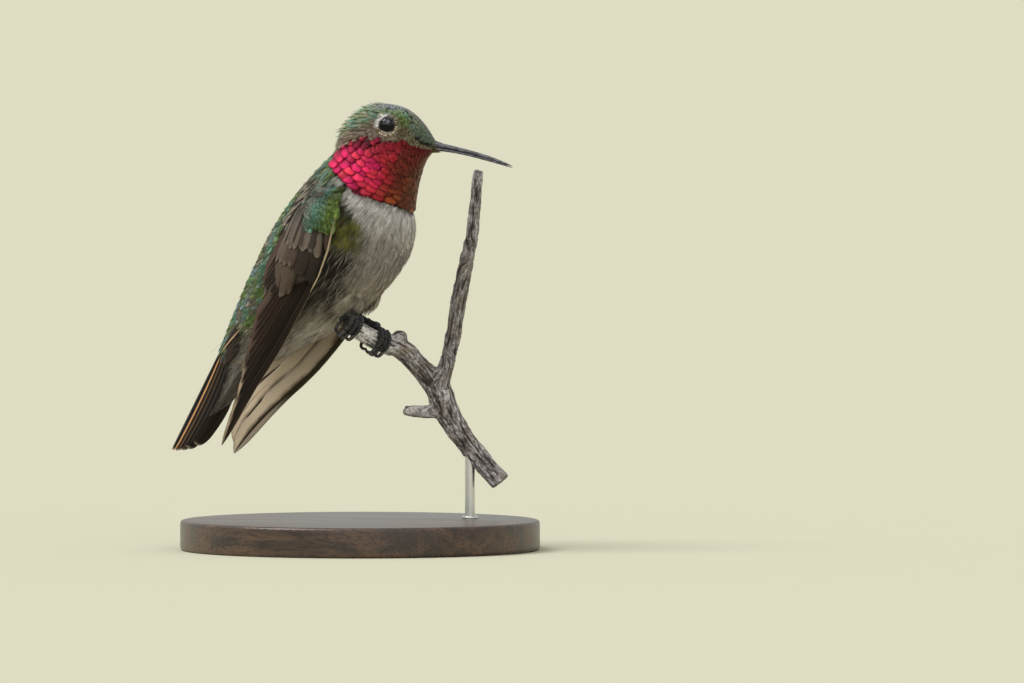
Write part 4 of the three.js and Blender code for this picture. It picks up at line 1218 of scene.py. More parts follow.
def lay_back(chart):
    """The back's and rump's contour feathers, with loose barbs over them."""
    plumage, fringe = Plumage(), Plumage()
    shape = blade([(0.0, 0.35), (0.3, 0.8), (0.55, 1.0), (0.75, 0.8), (0.9, 0.42), (1.0, 0.06)], cup=0.05)
    rng = np.random.default_rng(51)
    for layer, (spacing, width) in enumerate(((0.95, 0.95), (0.58, 0.62))):
        along, round_ = rows_on(chart, spacing, width, seed=5 + layer, jitter=0.4, reach=(0.42, 0.95))
        degrees = fold(round_)
        size = lookup([(0.42, 0.8), (0.6, 1.1), (0.85, 1.3), (0.96, 1.4)], along) * rng.uniform(0.8, 1.2, len(along))
        tip = tip_of(chart, along, round_, 2.4 * size)
        chosen = (degrees < lookup(BACK_BORDER, along) + 6) & (tip < lookup(RUMP_END, degrees))
        along, round_, size, tip = keep(chosen, along, round_, size, tip)
        chance = rng.random(len(along))
        tints = np.minimum(body_colour(chart, along + 0.6 * (tip - along), round_, chance), 0.5)
        ruffle = rng.random(len(along)) ** 6
        if layer == 0:
            tints = with_rim(tints, rng.uniform(0, 0.8, len(along)))
            lay(plumage, chart, shape, along, round_, 3.2 * size, 1.2 * size, tints,
                rise=(-0.6, -0.03 + 0.25 * ruffle), yaw=rng.normal(0, 10, len(along)), bow=0.05)
            continue
        kind = rng.integers(0, 3, len(along))
        for n in range(3):
            a, r, big, tint, lift = keep(kind == n, along, round_, size, tints, ruffle)
            lay(fringe, chart, tuft(5, 0.85, 0.10, seed=500 + n), a, r, 3.0 * big, 1.7 * big, tint,
                rise=(-0.5, 0.14 + 0.4 * lift), yaw=rng.normal(0, 9, len(a)), bow=0.08)
    # one wisp of white down stands off the rump
    wisp = tuft(2, 0.08, 0.12, seed=57, bend=0.1, rings=((0, 1.0), (0.3, 1.0), (0.6, 0.8), (0.85, 0.5)))
    lay(fringe, chart, wisp, [0.90], [0.985], 4.4, 1.6, [DOWN_WHITE], rise=(-0.4, 2.2), bow=0.7)
    # long dark feathers run from the sides of the rump over the root of the tail
    places = np.array([0.112, 0.128, 0.144, 0.162, 0.185, 0.210, 0.235])
    starts = np.tile([0.835, 0.84, 0.85, 0.865, 0.885, 0.90, 0.915], 2)
    places = np.concatenate([places, 1 - places])
    tints = blend(QUILL_BLACK, QUILL_BROWN, 0.6 * rng.random(len(places)))
    tints = with_rim(tints, np.tile([0.1, 0.6, 0.1, 0.4, 0.1, 0.2, 0.1], 2))
    outline = blade([(0.0, 0.3), (0.2, 0.7), (0.5, 1.0), (0.8, 0.95), (0.93, 0.6), (1.0, 0.1)],
                    across=5, shaft=0.05, cup=0.04)
    lay(plumage, chart, outline, starts, places, 7.5 - 30 * (starts - 0.835), 1.3, tints, rise=(-0.1, 0.12), bow=0.12)
    # and one on either side has the rufous edge that runs on down the tail
    lay(plumage, chart, outline, [0.845, 0.845], [0.144, 0.856], 8.5, 0.38, with_rim([QUILL_RUFOUS] * 2, 0.0),
        rise=(0.1, 0.45), yaw=[2, -2], bow=0.2)
    return plumage.piece("back_feathers"), fringe.piece("back_barbs")


def lay_scapulars(chart):
    """Long loose feathers from the shoulders over the wings' roots."""
    plumage = Plumage()
    rng = np.random.default_rng(55)
    shape = blade([(0.0, 0.3), (0.25, 0.8), (0.5, 1.0), (0.72, 0.8), (0.9, 0.42), (1.0, 0.08)], across=5, cup=0.04)
    number = 240
    side = rng.random(number) < 0.5
    along = rng.uniform(0.43, 0.64, number)
    middle = lookup([(0.43, 34), (0.5, 42), (0.6, 52), (0.66, 55)], along)
    degrees = middle + rng.uniform(-16, 8, number)
    round_ = np.where(side, degrees, 360 - degrees) / 360
    chance = rng.random(number)
    tints = blend(blend(BACK_GREY, COVERT_BROWN, rng.random(number)), QUILL_BLACK, smoothstep(0.66, 0.74, chance))
    tints = blend(tints, BACK_TEAL, 0.8 * smoothstep(0.12, 0.08, chance))
    tints = blend(tints, blend(BACK_TEAL, BACK_GREEN, chance) * 0.55, 0.85 * smoothstep(0.47, 0.445, along))
    tints = with_rim(tints, rng.uniform(0, 0.9, number))
    lay(plumage, chart, shape, along, round_, rng.uniform(3.0, 5.5, number), rng.uniform(0.5, 0.95, number), tints,
        rise=(-0.3, 0.15 + 0.3 * rng.random(number)), yaw=rng.normal(0, 7, number), bow=0.15)
    return plumage.piece("scapular_feathers")


def lay_breast(chart, name, seed, reach):
    """Soft hair-like tufts of the collar, breast, belly and vent."""
    plumage = Plumage()
    rng = np.random.default_rng(seed)
    along, round_ = rows_on(chart, 0.54, 0.57, seed=seed, jitter=0.45, reach=reach)
    degrees = fold(round_)
    border = lookup(BACK_BORDER, along)
    chosen = (degrees > border) & (in_gorget(along, degrees) < 0.010) & (along < 0.94)
    along, round_, degrees = keep(chosen, along, round_, degrees)
    kind = rng.integers(0, 4, len(along))
    chance = rng.random(len(along))
    tints = body_colour(chart, along, round_, chance) * rng.uniform(0.84, 1.14, (len(along), 1))
    # fine dark hairs lie between the pale tufts, and a few pale ones over the dark flank
    streak = rng.random(len(along))
    flank = (along > 0.60) & (along < 0.84) & (degrees < 146)
    hairs = (streak < 0.11) | (flank & (streak > 0.80))
    hair_tints = np.where((streak < 0.11)[:, None], tints * 0.40, np.array(BELLY_BROWN) * 0.6)
    size = lookup([(0.42, 0.8), (0.52, 1.0), (0.8, 1.15), (1.0, 1.2)], along)
    for n in range(4):
        shape = tuft(6, 0.85, 0.058, seed=seed * 10 + n)
        a, r, tint, big = keep(kind == n, along, round_, tints, size)
        stray = rng.random(len(a)) ** 8
        depth = lookup(COAT_DEPTH, a)
        lay(plumage, chart, shape, a, r, 3.1 * big, 1.6 * big, tint, rise=(-0.85 * depth, 0.02 + 0.5 * stray),
            yaw=rng.normal(0, 8, len(a)), bow=0.12)
    a, r, tint, big = keep(hairs, along, round_, hair_tints, size)
    lay(plumage, chart, tuft(2, 0.3, 0.05, seed=seed), a, r, 4.0 * big, 1.4 * big, tint,
        rise=(-0.3, 0.12 + 0.2 * rng.random(len(a))), yaw=rng.normal(0, 9, len(a)), bow=0.16)
    return plumage.piece(name)


def lay_thighs(body):
    """Tufts over the thighs, dark down to the heels."""
    plumage = Plumage()
    rng = np.random.default_rng(71)
    for side, thigh in THIGHS.items():
        hip, heel = np.array(thigh["hip"]), np.array(thigh["heel"])
        route = [hip + (heel - hip) * k for k in (-0.3, 0.2, 0.6, 1.3)]
        chart = limb_chart(route, [3.2, 3.0, 2.2, 0.9])
        along, round_ = rows_on(chart, 0.5, 0.55, seed=72, jitter=0.4, reach=(0.05, 0.95))
        chance = rng.random(len(along))
        pale = chance**1.3 * smoothstep(1.1, 0.5, along)
        tints = blend(THIGH_BLACK, BELLY_BROWN, pale) * (0.6 + 0.6 * rng.random((len(along), 1)))
        shape = tuft(5, 0.8, 0.08, seed=73)
        lay(plumage, chart, shape, along, round_, 2.2, 1.5, tints, rise=(-0.6, 0.08),
            yaw=rng.normal(0, 14, len(along)), bow=0.1, bake=(0.0, 0.5) if side == RIGHT else (0.5, 1.0))
    # loose tufts of the belly hang over the tops of the legs
    number = 110
    degrees = rng.uniform(146, 170, number)
    round_ = np.where(rng.random(number) < 0.5, degrees, 360 - degrees) / 360
    tints = np.array(BELLY_BROWN) * rng.uniform(0.35, 1.0, (number, 1))
    along, length = rng.uniform(0.715, 0.745, number), rng.uniform(3.4, 4.8, number)
    lay(plumage, body, tuft(6, 0.8, 0.06, seed=74), along, round_, length, 1.7, tints, rise=(-0.3, 1.7),
        yaw=rng.normal(0, 12, number), bow=0.3)
    return plumage.piece("thigh_tufts")


def tail_axes():
    """The tail's way from root to tip, and the way down from it."""
    axis = TAIL_TIP - TAIL_ROOT
    return axis, np.array([-axis[2], 0, axis[0]]) / np.hypot(axis[0], axis[2])


def undertail_chart():
    """The surface of the soft coverts in the hollow under the tail."""
    k = np.linspace(0, 1, 30)[:, None]
    angle = (np.arange(40) / 40 * 2 * math.pi)[None, :]
    half, thick = through([3.1, 3.3, 2.9, 1.0], k), through([1.9, 1.7, 1.3, 0.6], k)
    y = half * np.sin(angle)
    axis, down = tail_axes()
    place = 0.20 + 0.56 * k + 0 * angle
    drop = TAIL_FALL * (np.hypot(y, 1) - 1) + 0.95 + thick * (1 - np.cos(angle))
    points = TAIL_ROOT + axis * place[..., None] + down * drop[..., None]
    points[..., 1] += y
    return Chart(points, closed=True)


def lay_undertail():
    """Soft grey tufts in the hollow under the tail."""
    plumage = Plumage()
    rng = np.random.default_rng(81)
    chart = undertail_chart()
    along, round_ = rows_on(chart, 0.7, 0.6, seed=82, jitter=0.4, reach=(0.0, 0.9))
    chance = rng.random(len(along))
    tints = blend(VENT_GREY, BREAST_GREY, chance) * (0.36 + 0.2 * rng.random((len(along), 1)))
    shape = tuft(6, 0.85, 0.09, seed=83)
    lay(plumage, chart, shape, along, round_, 4.2, 1.8, tints, rise=(-0.5, 0.05), yaw=rng.normal(0, 5, len(along)))
    return plumage.piece("undertail_feathers")


def lay_wing_coverts():
    """The wings' arms: small green lesser coverts, then rows of longer brown ones over the quills."""
    plumage = Plumage()
    rng = np.random.default_rng(61)
    small = blade([(0.0, 0.4), (0.3, 0.85), (0.6, 1.0), (0.8, 0.80), (0.93, 0.42), (1.0, 0.05)], cup=0.01)
    long_ = blade([(0.0, 0.35), (0.2, 0.8), (0.5, 1.0), (0.8, 0.98), (0.92, 0.78), (0.98, 0.42), (1.0, 0.1)],
                  across=5, shaft=0.08, cup=0.05)
    for side in (RIGHT, LEFT):
        chart = wing_chart(side)
        bake = (0.0, 0.45) if side == RIGHT else (0.55, 1.0)

        def row(shape, at, places, length, width, tints, pale, lift, yaw=4.0):
            number = len(places)
            tints = with_rim(np.broadcast_to(tints, (number, 3)), pale)
            # the chart counts both places from 0 to 1 over a part of the wing
            (start, stop), (lead, trail) = ARM_CHART
            along = (at + rng.normal(0, 0.006, number) - start) / (stop - start)
            yaw = side * (rng.normal(0, 3, number) + yaw * (1 - places))
            lay(plumage, chart, shape, along, (places - lead) / (trail - lead), length, width, tints,
                rise=(lift - 0.35, lift), yaw=yaw, bow=0.1, bake=bake)

        # long dark feathers first, so that each row lies over the one before it
        places = np.array([0.42, 0.54, 0.66, 0.78, 0.90, 1.02])
        row(long_, 0.12, places, 12.0, 2.1, blend(QUILL_BROWN, COVERT_BROWN, 0.5 * rng.random(6)), 0.2, 0.05)
        places = np.array([0.08, 0.17, 0.27, 0.38, 0.50])[0 if side == RIGHT else 2:]
        dark = blend(QUILL_BLACK, QUILL_BROWN, 0.6 * places)
        row(long_, 0.05, places, 12.5 - 7 * places, 1.9, dark, 0.1 * places, 0.1)
        places = np.array([0.56, 0.68, 0.80, 0.92, 1.02])
        row(long_, 0.02, places, 11.5 - 2.0 * places, 2.0, blend(QUILL_BROWN, COVERT_BROWN, rng.random(5)), 0.25, 0.15)
        if side == RIGHT:
            places = np.array([0.04, 0.13, 0.22])
            row(long_, 0.0, places, 7.5, 1.5, blend(QUILL_BLACK, QUILL_BROWN, np.array([0.9, 0.5, 0.6])), 0.1, 0.2)
        places = np.array([0.66, 0.76, 0.87, 0.98])
        row(long_, -0.03, places, 8.6, 1.25, 0.85 * blend(COVERT_BROWN, BACK_GREY, 0.3 * rng.random(4)), 0.4, 0.3)
        places = 0.16 + 0.075 * np.arange(8)
        brown = blend(COVERT_BROWN, BACK_GREY, 0.25 * rng.random(8))
        brown = blend(brown, QUILL_BLACK, [0, 0.8, 0, 0, 0.7, 0, 0.8, 0])
        row(long_, 0.012, places, 7.4 - 1.2 * places, 1.35, 0.85 * brown, 0.3, 0.3)
        if side == RIGHT:
            row(long_, -0.045, np.array([-0.035]), 18.5, 0.34, WING_EDGE_BUFF, 0.0, 0.75, 0.0)
        for n, at in enumerate(np.arange(0.010, -0.120, -0.016)):
            # the uppermost rows reach further back over the arm
            reach = 0.50 + 0.25 * smoothstep(-0.05, -0.09, at)
            number = round(18 * reach)
            places = -0.01 + reach * (np.arange(number) + 0.5 * (n % 2)) / number + rng.normal(0, 0.02, number)
            chance = rng.random(number)
            green = blend(BACK_GREEN, BACK_TEAL, smoothstep(0.08, 0.22, places + 0.3 * (chance - 0.5)))
            lime = smoothstep(0.16, 0.06, np.abs(places - 0.10) + 0.2 * (chance - 0.5)) * (at < 0.02)
            green = blend(green, COVERT_LIME, 0.8 * lime)
            green = blend(green, BACK_GREY, 0.6 * smoothstep(0.36, 0.48, places))
            green = blend(green, BACK_DARK, 0.6 * smoothstep(0.12, 0.05, chance)) * rng.uniform(1.0, 1.3, (number, 1))
            green = green * (0.5 + 0.5 * smoothstep(-0.10, -0.05, at))
            ends = (places < reach + 0.06 - 5 * max(at, 0)) & (places > -0.02 + 1.2 * max(-0.02 - at, 0))
            row(small, at, places[ends], 3.2, 1.6, green[ends], 0.05, 0.40 + 0.02 * n, 8.0)
            # loose barbs soften the little feathers
            places = np.repeat(places[ends], 8) + rng.normal(0, 0.03, 8 * ends.sum())
            tone = np.repeat(green[ends], 8, 0) * rng.uniform(0.7, 1.3, (len(places), 1))
            row(tuft(6, 0.85, 0.08, seed=600 + n), at, places, 3.3, 1.6, tone, 0.0, 0.50 + 0.02 * n, 8.0)
    return plumage.piece("wing_coverts")


# ---- flight feathers


def quill(rng, blunt):
    """A flight feather's outline with a few splits in its edge, and an underside of its own."""
    rows = 22
    v = 1 - (1 - np.linspace(0, 1, rows)) ** 1.5
    tip = np.clip((v - 0.76 - 0.14 * blunt) / (0.24 - 0.14 * blunt), 0, 1)
    half = np.interp(v, [0, 0.06, 0.25, 0.7], [0.22, 0.6, 0.95, 1.0]) * np.maximum(1 - tip**2, 0) ** (1.1 - 0.6 * blunt)
    half = np.maximum(half * (1 - 0.05 * rng.random(rows) * (v < 0.9)), 0.05)
    return blade(list(zip(v, half)), across=9, shaft=0.06, cup=0.03, under=0.05)


def placed_on_side(shape, side):
    """The same shape for a mirrored feather, with its faces turned over."""
    if side == RIGHT:
        return shape
    return (*shape[:2], *([face[::-1] for face in faces] for faces in shape[2:]))


def wing_feathers(plumage, side, row, rng):
    """A row of flight feathers on one folded wing."""
    wing = WINGS[side]
    number = len(row["tips"])
    for n, tip in enumerate(row["tips"]):
        share = row["spread"][side][n]
        shape = quill(rng, blunt=0.6)
        u, v, h = shape[0].T
        start, end = between(row["roots"], share), between(row["ends"], 1 - (1 - share) ** 4)
        s = between((row["from"], tip), v)
        lift = between(row["level"], (n + 0.5) / number)
        shaft = wing_point(wing, s, start + (end - start) * v**2, lift)
        ahead = wing_point(wing, s + 0.01, start + (end - start) * (v + 0.012) ** 2, lift) - shaft
        out = wing_out(wing, s)
        inward = unit(np.cross(ahead, out))
        edge, web = row["webs"][side]
        # the far wing's inner feathers are slim and stay behind the near wing
        inner = smoothstep(3, 7, n + 4 * (row is SECONDARIES))
        web *= 1 - 0.5 * (side == LEFT) * inner
        wide = np.where(u < 0, edge * (1 + 0.5 * smoothstep(0.6, 0.85, v)), web * (1 - 0.35 * v)) * u
        height = h * web - 0.06 * wide
        made = mirrored(shaft + inward * wide[:, None] + out * height[:, None], side)
        place = np.array([[0.05 + 0.4 * (n + 0.5) / number + (0.5 if side == LEFT else 0), 0.5]])
        # the inner feathers, which lie uppermost, are browner
        shade = rng.uniform(0.8, 1.2) * np.array([1.0, 0.95, 0.92]) ** (n / 3) * (1 + 1.3 * inner)
        plumage.add(placed_on_side(shape, side), made[None], place, np.array([[*shade, row["edges"][n]]]))


def make_wings():
    """Both rows of flight feathers of both wings, each with the CAD node that it stands for."""
    pieces = []
    rng = np.random.default_rng(91)
    for side, name in ((RIGHT, "right"), (LEFT, "left")):
        for row, kind in ((PRIMARIES, "primary"), (SECONDARIES, "secondary")):
            plumage = Plumage(two_sided=True)
            wing_feathers(plumage, side, row, rng)
            node = f"wing_{name}_{'primaries' if row is PRIMARIES else 'secondaries'}"
            pieces.append((plumage.piece(f"{kind}_feathers_{name}"), node))
    return pieces


def tail_point(k, y, rise):
    """Points of the tail's trough: along it by k, sideways by y mm, and out from its slope by rise mm."""
    slope = TAIL_FALL * y / np.hypot(y, 1)
    steep = np.hypot(slope, 1)
    axis, down = tail_axes()
    drop = TAIL_FALL * (np.hypot(y, 1) - 1) - rise / steep
    point = TAIL_ROOT + axis * np.asarray(k)[..., None] + down * drop[..., None]
    point[..., 1] += y + rise * slope / steep
    return point


def make_tail():
    """Ten tail feathers, the middle ones uppermost, folded into a steep trough."""
    plumage = Plumage(two_sided=True)
    rng = np.random.default_rng(95)
    number = len(TAIL_TIPS)
    for n, tip in enumerate(TAIL_TIPS):
        shape = quill(rng, blunt=1.0)
        u, v, h = shape[0].T
        across = 2 * (n + 0.5) / number - 1
        side = RIGHT if across < 0 else LEFT
        # u runs from the outer web's edge, at -1, to the inner web's
        wide = np.where(u < 0, 0.75, 1.3) * -u * np.sign(across) * (0.5 + 0.5 * smoothstep(0.0, 0.5, v))
        y = across * 0.86 * through(TAIL_HALF, v) + wide
        rise = 0.26 - 0.55 * abs(across) + h - 0.08 * u - 1.3 * smoothstep(0.24, 0.0, v)
        made = tail_point(v * tip, y, rise)
        place = np.array([[0.1 + 0.8 * n / number, 0.5]])
        shade = rng.uniform(0.8, 1.2)
        plumage.add(placed_on_side(shape, side), made[None], place, np.array([[shade, shade, shade, TAIL_EDGES[n]]]))
    return plumage.piece("tail_feathers")


# ---- skin


def make_skin(chart):
    """One unbroken skin under the plumage, marked like it."""
    rows, columns = chart.points.shape[:2]
    # the skin carries on a little beyond the chart, to close round the bill
    places = np.concatenate([[-0.016, -0.008], np.linspace(0, 1, rows)])
    surface, out, _, _ = chart.at(*np.broadcast_arrays(places[:, None], np.arange(columns) / columns))
    points = (surface - out * lookup(COAT_DEPTH, places)[:, None, None]).reshape(-1, 3)
    faces = []
    for start in range(0, len(points) - columns, columns):
        for j in range(columns):
            k = (j + 1) % columns
            faces.append((start + j, start + columns + j, start + columns + k, start + k))
    faces += [tuple(range(columns)), tuple(range(len(points) - columns, len(points)))[::-1]]
    trunk = mesh_piece("skin", points, faces)
    limbs = copy_of(*LIMBS, "undertail_coverts", name="limbs")
    swell(limbs, -LIMB_COAT)
    only(trunk, limbs)
    bpy.ops.object.join()
    fuse(trunk, voxel=0.4, passes=6)
    bpy.ops.object.shade_smooth()
    # the skin takes its markings from the nearest place on the body
    near = KDTree(rows * columns)
    for n, point in enumerate(chart.points.reshape(-1, 3)):
        near.insert(point, n)
    near.balance()
    found = [near.find(point)[1:] for point in vertices_of(trunk) / MM]
    index, away = (np.array(values) for values in zip(*found))
    along, round_ = (index // columns) / (rows - 1), (index % columns) / columns
    tints = body_colour(chart, along, round_, np.full(len(index), 0.5))
    tints = blend(tints, QUILL_BROWN, smoothstep(1.0, 1.6, away))
    red = in_gorget(along, fold(round_)) > 0
    tints[red] = gorget_colour(chart, along, round_, np.full(len(index), 0.3))[red] * 0.5
    set_tint(trunk.data, with_rim(tints * 0.7, 1.0))
    set_map(trunk.data, "OFBake", bake_place(round_, along))
    return trunk


# ---- bill, eyes, feet


def drawn_out(name, stations):
    """A closed tapering form, drawn out of a disc from station to station: (point, across, up) in mm."""
    points = [np.array(station[0], float) for station in stations]
    piece = primitive(name, "circle", vertices=20, radius=1, fill_type="NGON", location=(0, 0, 0))

    def extrude():
        for _ in stations[1:]:
            bpy.ops.mesh.extrude_region_move(TRANSFORM_OT_translate={"value": (0, 0, 1)})

    edit_whole(piece, extrude)
    for vertex in piece.data.vertices:
        n = int(round(vertex.co.z))
        _, wide, high = stations[n]
        ahead = unit(points[min(n + 1, len(points) - 1)] - points[max(n - 1, 0)])
        beside = unit(np.cross(ahead, (0, 0, 1)))
        up = np.cross(beside, ahead)
        place = points[n] + beside * vertex.co.x * wide + up * vertex.co.y * high
        vertex.co = Vector(place * MM)
    edit_whole(piece, bpy.ops.mesh.normals_make_consistent, inside=False)
    return piece


def make_bill(up):
    """One half of the closed bill, drawn out along the arched line and met by the other half in a seam."""
    root, tip = np.array(BILL["root"]), np.array(BILL["tip"])
    chord = tip - root
    lift = np.array([-chord[1], chord[0]]) / np.hypot(*chord)
    heights = BILL["upper"] if up > 0 else BILL["lower"]
    stations = []
    for k in np.linspace(0, 1, 15):
        width, height = through(BILL["width"], k), through(heights, k)
        arch = BILL["arch"] * 4 * k * (1 - k)
        middle = root + chord * k + lift * (arch + up * 0.46 * height)
        point = turned_head(np.array([middle[0], 0.0, middle[1]]), 1.0)
        share = np.interp(k, [0.85, 0.93, 1.0], [1.0, 0.85, 0.3])
        stations.append((point, width / 2 * share, height * 0.54 * share))
    piece = drawn_out("upper_bill" if up > 0 else "lower_bill", stations)
    bpy.ops.object.shade_smooth_by_angle(angle=math.radians(50))
    return piece


def refined(name, *nodes, plump, knobs=0.0):
    """A smoother copy of CAD nodes, plumper by so many mm and knobbly by so many."""
    piece = copy_of(*nodes, name=name)
    finer = piece.modifiers.new("finer", "SUBSURF")
    finer.levels = finer.render_levels = 2
    fuller = piece.modifiers.new("fuller", "DISPLACE")
    fuller.strength, fuller.mid_level = plump * MM, 0.0
    apply_all(piece)
    if knobs:
        swell(piece, lambda place: knobs * noise.noise(place / (0.55 * MM)))
    bpy.ops.object.shade_smooth()
    return piece


def make_eye(side):
    """The dark ball and its fleshy rim."""
    centre = turned_head(np.array([EYE["x"], side * EYE["y"], EYE["z"]]), 1.0)
    out = turned_head(np.array([HEAD_PIVOT_X, side * 1.0, 0.0]), 1.0) - np.array([HEAD_PIVOT_X, 0, 0])
    out = unit(np.array([out[0], out[1], 0.08]))
    name = "right" if side == RIGHT else "left"
    radius, middle = EYE["radius"] * MM, centre * MM
    ball = primitive(f"eyeball_{name}", "uv_sphere", segments=64, ring_count=32, radius=radius, location=middle)
    bpy.ops.object.shade_smooth()
    rim = primitive(
        f"eye_rim_{name}", "torus", major_segments=56, minor_segments=14, major_radius=EYE["rim"] * MM,
        minor_radius=EYE["rim_thick"] * MM, location=(centre + out * EYE["rim_out"]) * MM,
        rotation=Vector(out).to_track_quat("Z", "Y").to_euler(),
    )
    bpy.ops.object.shade_smooth()
    return ball, rim


# ---- perch, stand


def make_perch():
    """The dead twig: the CAD's branch and twig fused, with wrinkled, pitted bark."""
    piece = copy_of("perch_branch", "perch_twig", name="perch")
    fuse(piece, voxel=0.24, passes=8)
    points, normals = vertices_of(piece) / MM, vertices_of(piece, "normal")
    routes = [through(np.array(route), np.linspace(0, 1, 160)) for route in (PERCH, TWIG)]
    best = np.full(len(points), np.inf)
    grain = np.zeros((len(points), 2))
    for which, route in enumerate(routes):
        tangent = unit(np.gradient(route, axis=0))
        length = np.concatenate([[0], np.cumsum(np.linalg.norm(np.diff(route, axis=0), axis=1))])
        away = np.linalg.norm(points[:, None] - route[None], axis=-1)
        n = away.argmin(1)
        nearer = away[np.arange(len(points)), n] < best
        side = unit(np.cross(tangent[n], (0.2, 0.1, 0.97)))
        other = np.cross(tangent[n], side)
        off = points - route[n]
        turn = np.arctan2(np.sum(off * side, 1), np.sum(off * other, 1))
        run = length[n] + np.sum(off * tangent[n], 1)
        grain[nearer] = np.stack([turn, run + 100 * which], 1)[nearer]
        best = np.minimum(best, away[np.arange(len(points)), n])
    # the free end is broken off rather than round
    axis = unit(np.array(PERCH[1]) - np.array(PERCH[0]))
    reach = (points - np.array(PERCH[0])) @ axis
    ragged = np.array([0.5 * noise.noise(Vector(point * 0.9)) for point in points])
    points = points + axis * np.maximum(2.6 + ragged - reach, 0)[:, None]
    depth = np.zeros(len(points))
    for n, (turn, run) in enumerate(grain):
        coarse, crease, fine = (
            noise.noise(Vector((math.cos(turn) * around, math.sin(turn) * around, run * ahead)))
            for around, ahead in ((1.3, 0.28), (3.6, 0.22), (7, 0.9))
        )
        depth[n] = 0.24 * coarse + 0.20 * (1 - 2 * abs(crease)) - 0.14 + 0.12 * fine
    piece.data.vertices.foreach_set("co", floats((points + normals * depth[:, None]) * MM))
    piece.data.update()
    bpy.ops.object.shade_smooth()
    grain_layer = piece.data.attributes.new("grain", "FLOAT_VECTOR", "POINT")
    around = np.stack([np.cos(grain[:, 0]) * 1.8, np.sin(grain[:, 0]) * 1.8, grain[:, 1] * 0.25], 1)
    grain_layer.data.foreach_set("vector", floats(around))
    depth_and_end_shade = piece.data.attributes.new("depth", "FLOAT", "POINT")
    # the broken end is painted near black, as the shade under the toes that grip it
    depth = depth - 0.5 * smoothstep(4.2, 3.2, reach + ragged)
    depth_and_end_shade.data.foreach_set("value", floats(depth))
    return piece


def make_base():
    """The turned disc of the stand, with its edges rounded."""
    low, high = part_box("stand_base")
    radius, height = (high.x - low.x) / 2, high.z - low.z
    middle = (0, 0, height / 2)
    piece = primitive("display_base", "cylinder", vertices=128, radius=radius, depth=height, location=middle)
    bpy.ops.object.mode_set(mode="EDIT")
    bpy.ops.mesh.select_all(action="DESELECT")
    bpy.ops.object.mode_set(mode="OBJECT")
    for edge in piece.data.edges:
        a, b = (piece.data.vertices[n].co.z for n in edge.vertices)
        edge.select = abs(a - b) < 1e-6
    bpy.ops.object.mode_set(mode="EDIT")
    bpy.ops.mesh.bevel(offset=0.9 * MM, segments=5, profile=0.6)
    bpy.ops.object.mode_set(mode="OBJECT")
    bpy.ops.object.shade_smooth_by_angle(angle=math.radians(35))
    return piece


def make_rod():
    """The upright rod and the ferrule at its foot."""
    low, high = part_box("stand_rod")
    x, y, z = ((a + b) / 2 for a, b in zip(low, high))
    radius = (high.x - low.x) / 2
    height = high.z - low.z
    rod = primitive("support_rod", "cylinder", vertices=48, radius=radius, depth=height, location=(x, y, z))
    bpy.ops.object.shade_smooth_by_angle(angle=math.radians(35))
    ferrule = primitive(
        "rod_ferrule", "torus", major_segments=48, minor_segments=12, major_radius=radius + 0.25 * MM,
        minor_radius=0.45 * MM, location=(x, y, FERRULE_HEIGHT * MM),
    )
    bpy.ops.object.shade_smooth()
    return rod, ferrule


# ---- finishes in use


def skin_finish():
    f = Finish("skin", Roughness=0.8)
    tint = f.attribute("tint")["Color"]
    down = f.noise(2500.0, 3.0)
    f.colour(f.mix(f.ramp(down, 0.3, 0.7), tint, (0.5, 0.5, 0.5), "MULTIPLY"))
    f.bump(down, 0.5, 0.0002)
    return f.material


def tuft_finish():
    f = Finish("down", Roughness=0.8, Specular_IOR_Level=0.2)
    tint = f.attribute("tint")["Color"]
    along = f.vane()[1]
    f.colour(f.mix(f.ramp(along, 0.05, 0.6, 1.0, 0.0), tint, (0.5, 0.48, 0.46), "MULTIPLY"))
    return f.material


def bill_finish():
    f = Finish("bill horn", Roughness=0.32, Coat_Weight=0.25, Coat_Roughness=0.2)
    grain = f.noise(2200.0, 4.0, at=f.stretched(0.25, 1.0, 1.6))
    # the horn's grain streaks are mixed with a pale violet grey that stands in part for a painted sheen
    f.colour(f.mix(f.ramp(grain, 0.35, 0.75), (0.034, 0.032, 0.040), (0.165, 0.155, 0.185)))
    f.bump(grain, 0.25, 0.0001)
    f.set("Roughness", f.ramp(grain, 0.3, 0.8, 0.28, 0.5))
    return f.material


def eye_finish():
    f = Finish("eye", Roughness=0.06, Specular_IOR_Level=0.14)
    dark = f.mix(f.noise(300.0), (0.0015, 0.0012, 0.0015), (0.006, 0.004, 0.004))
    # a faint mottled sky reflection painted onto the upper part of the dark ball
    upper = f.ramp(f.split(f.place)[2], (EYE["z"] + 0.1) * MM, (EYE["z"] + 0.9) * MM)
    painted_sky_reflection = f.math("MULTIPLY", upper, f.ramp(f.noise(1500.0), 0.46, 0.60))
    f.colour(f.mix(painted_sky_reflection, dark, (0.09, 0.095, 0.115)))
    return f.material


def rim_finish():
    f = Finish("eye rim", Roughness=0.6)
    beads = f.cells(3800.0)
    f.colour(f.mix(f.ramp(beads, 0.2, 0.7), (0.09, 0.075, 0.065), (0.02, 0.018, 0.018)))
    f.bump(beads, 0.6, 0.0001)
    return f.material


def leg_finish():
    f = Finish("leg skin", Roughness=0.36)
    scales = f.cells(2600.0)
    f.colour(f.mix(f.ramp(scales, 0.1, 0.6), (0.026, 0.023, 0.024), (0.007, 0.006, 0.006)))
    f.bump(scales, 0.9, 0.0003)
    return f.material


def claw_finish():
    f = Finish("claw horn", Roughness=0.3, Coat_Weight=0.3)
    grain = f.noise(1500.0)
    f.colour(f.mix(grain, (0.012, 0.011, 0.012), (0.05, 0.045, 0.045)))
    return f.material


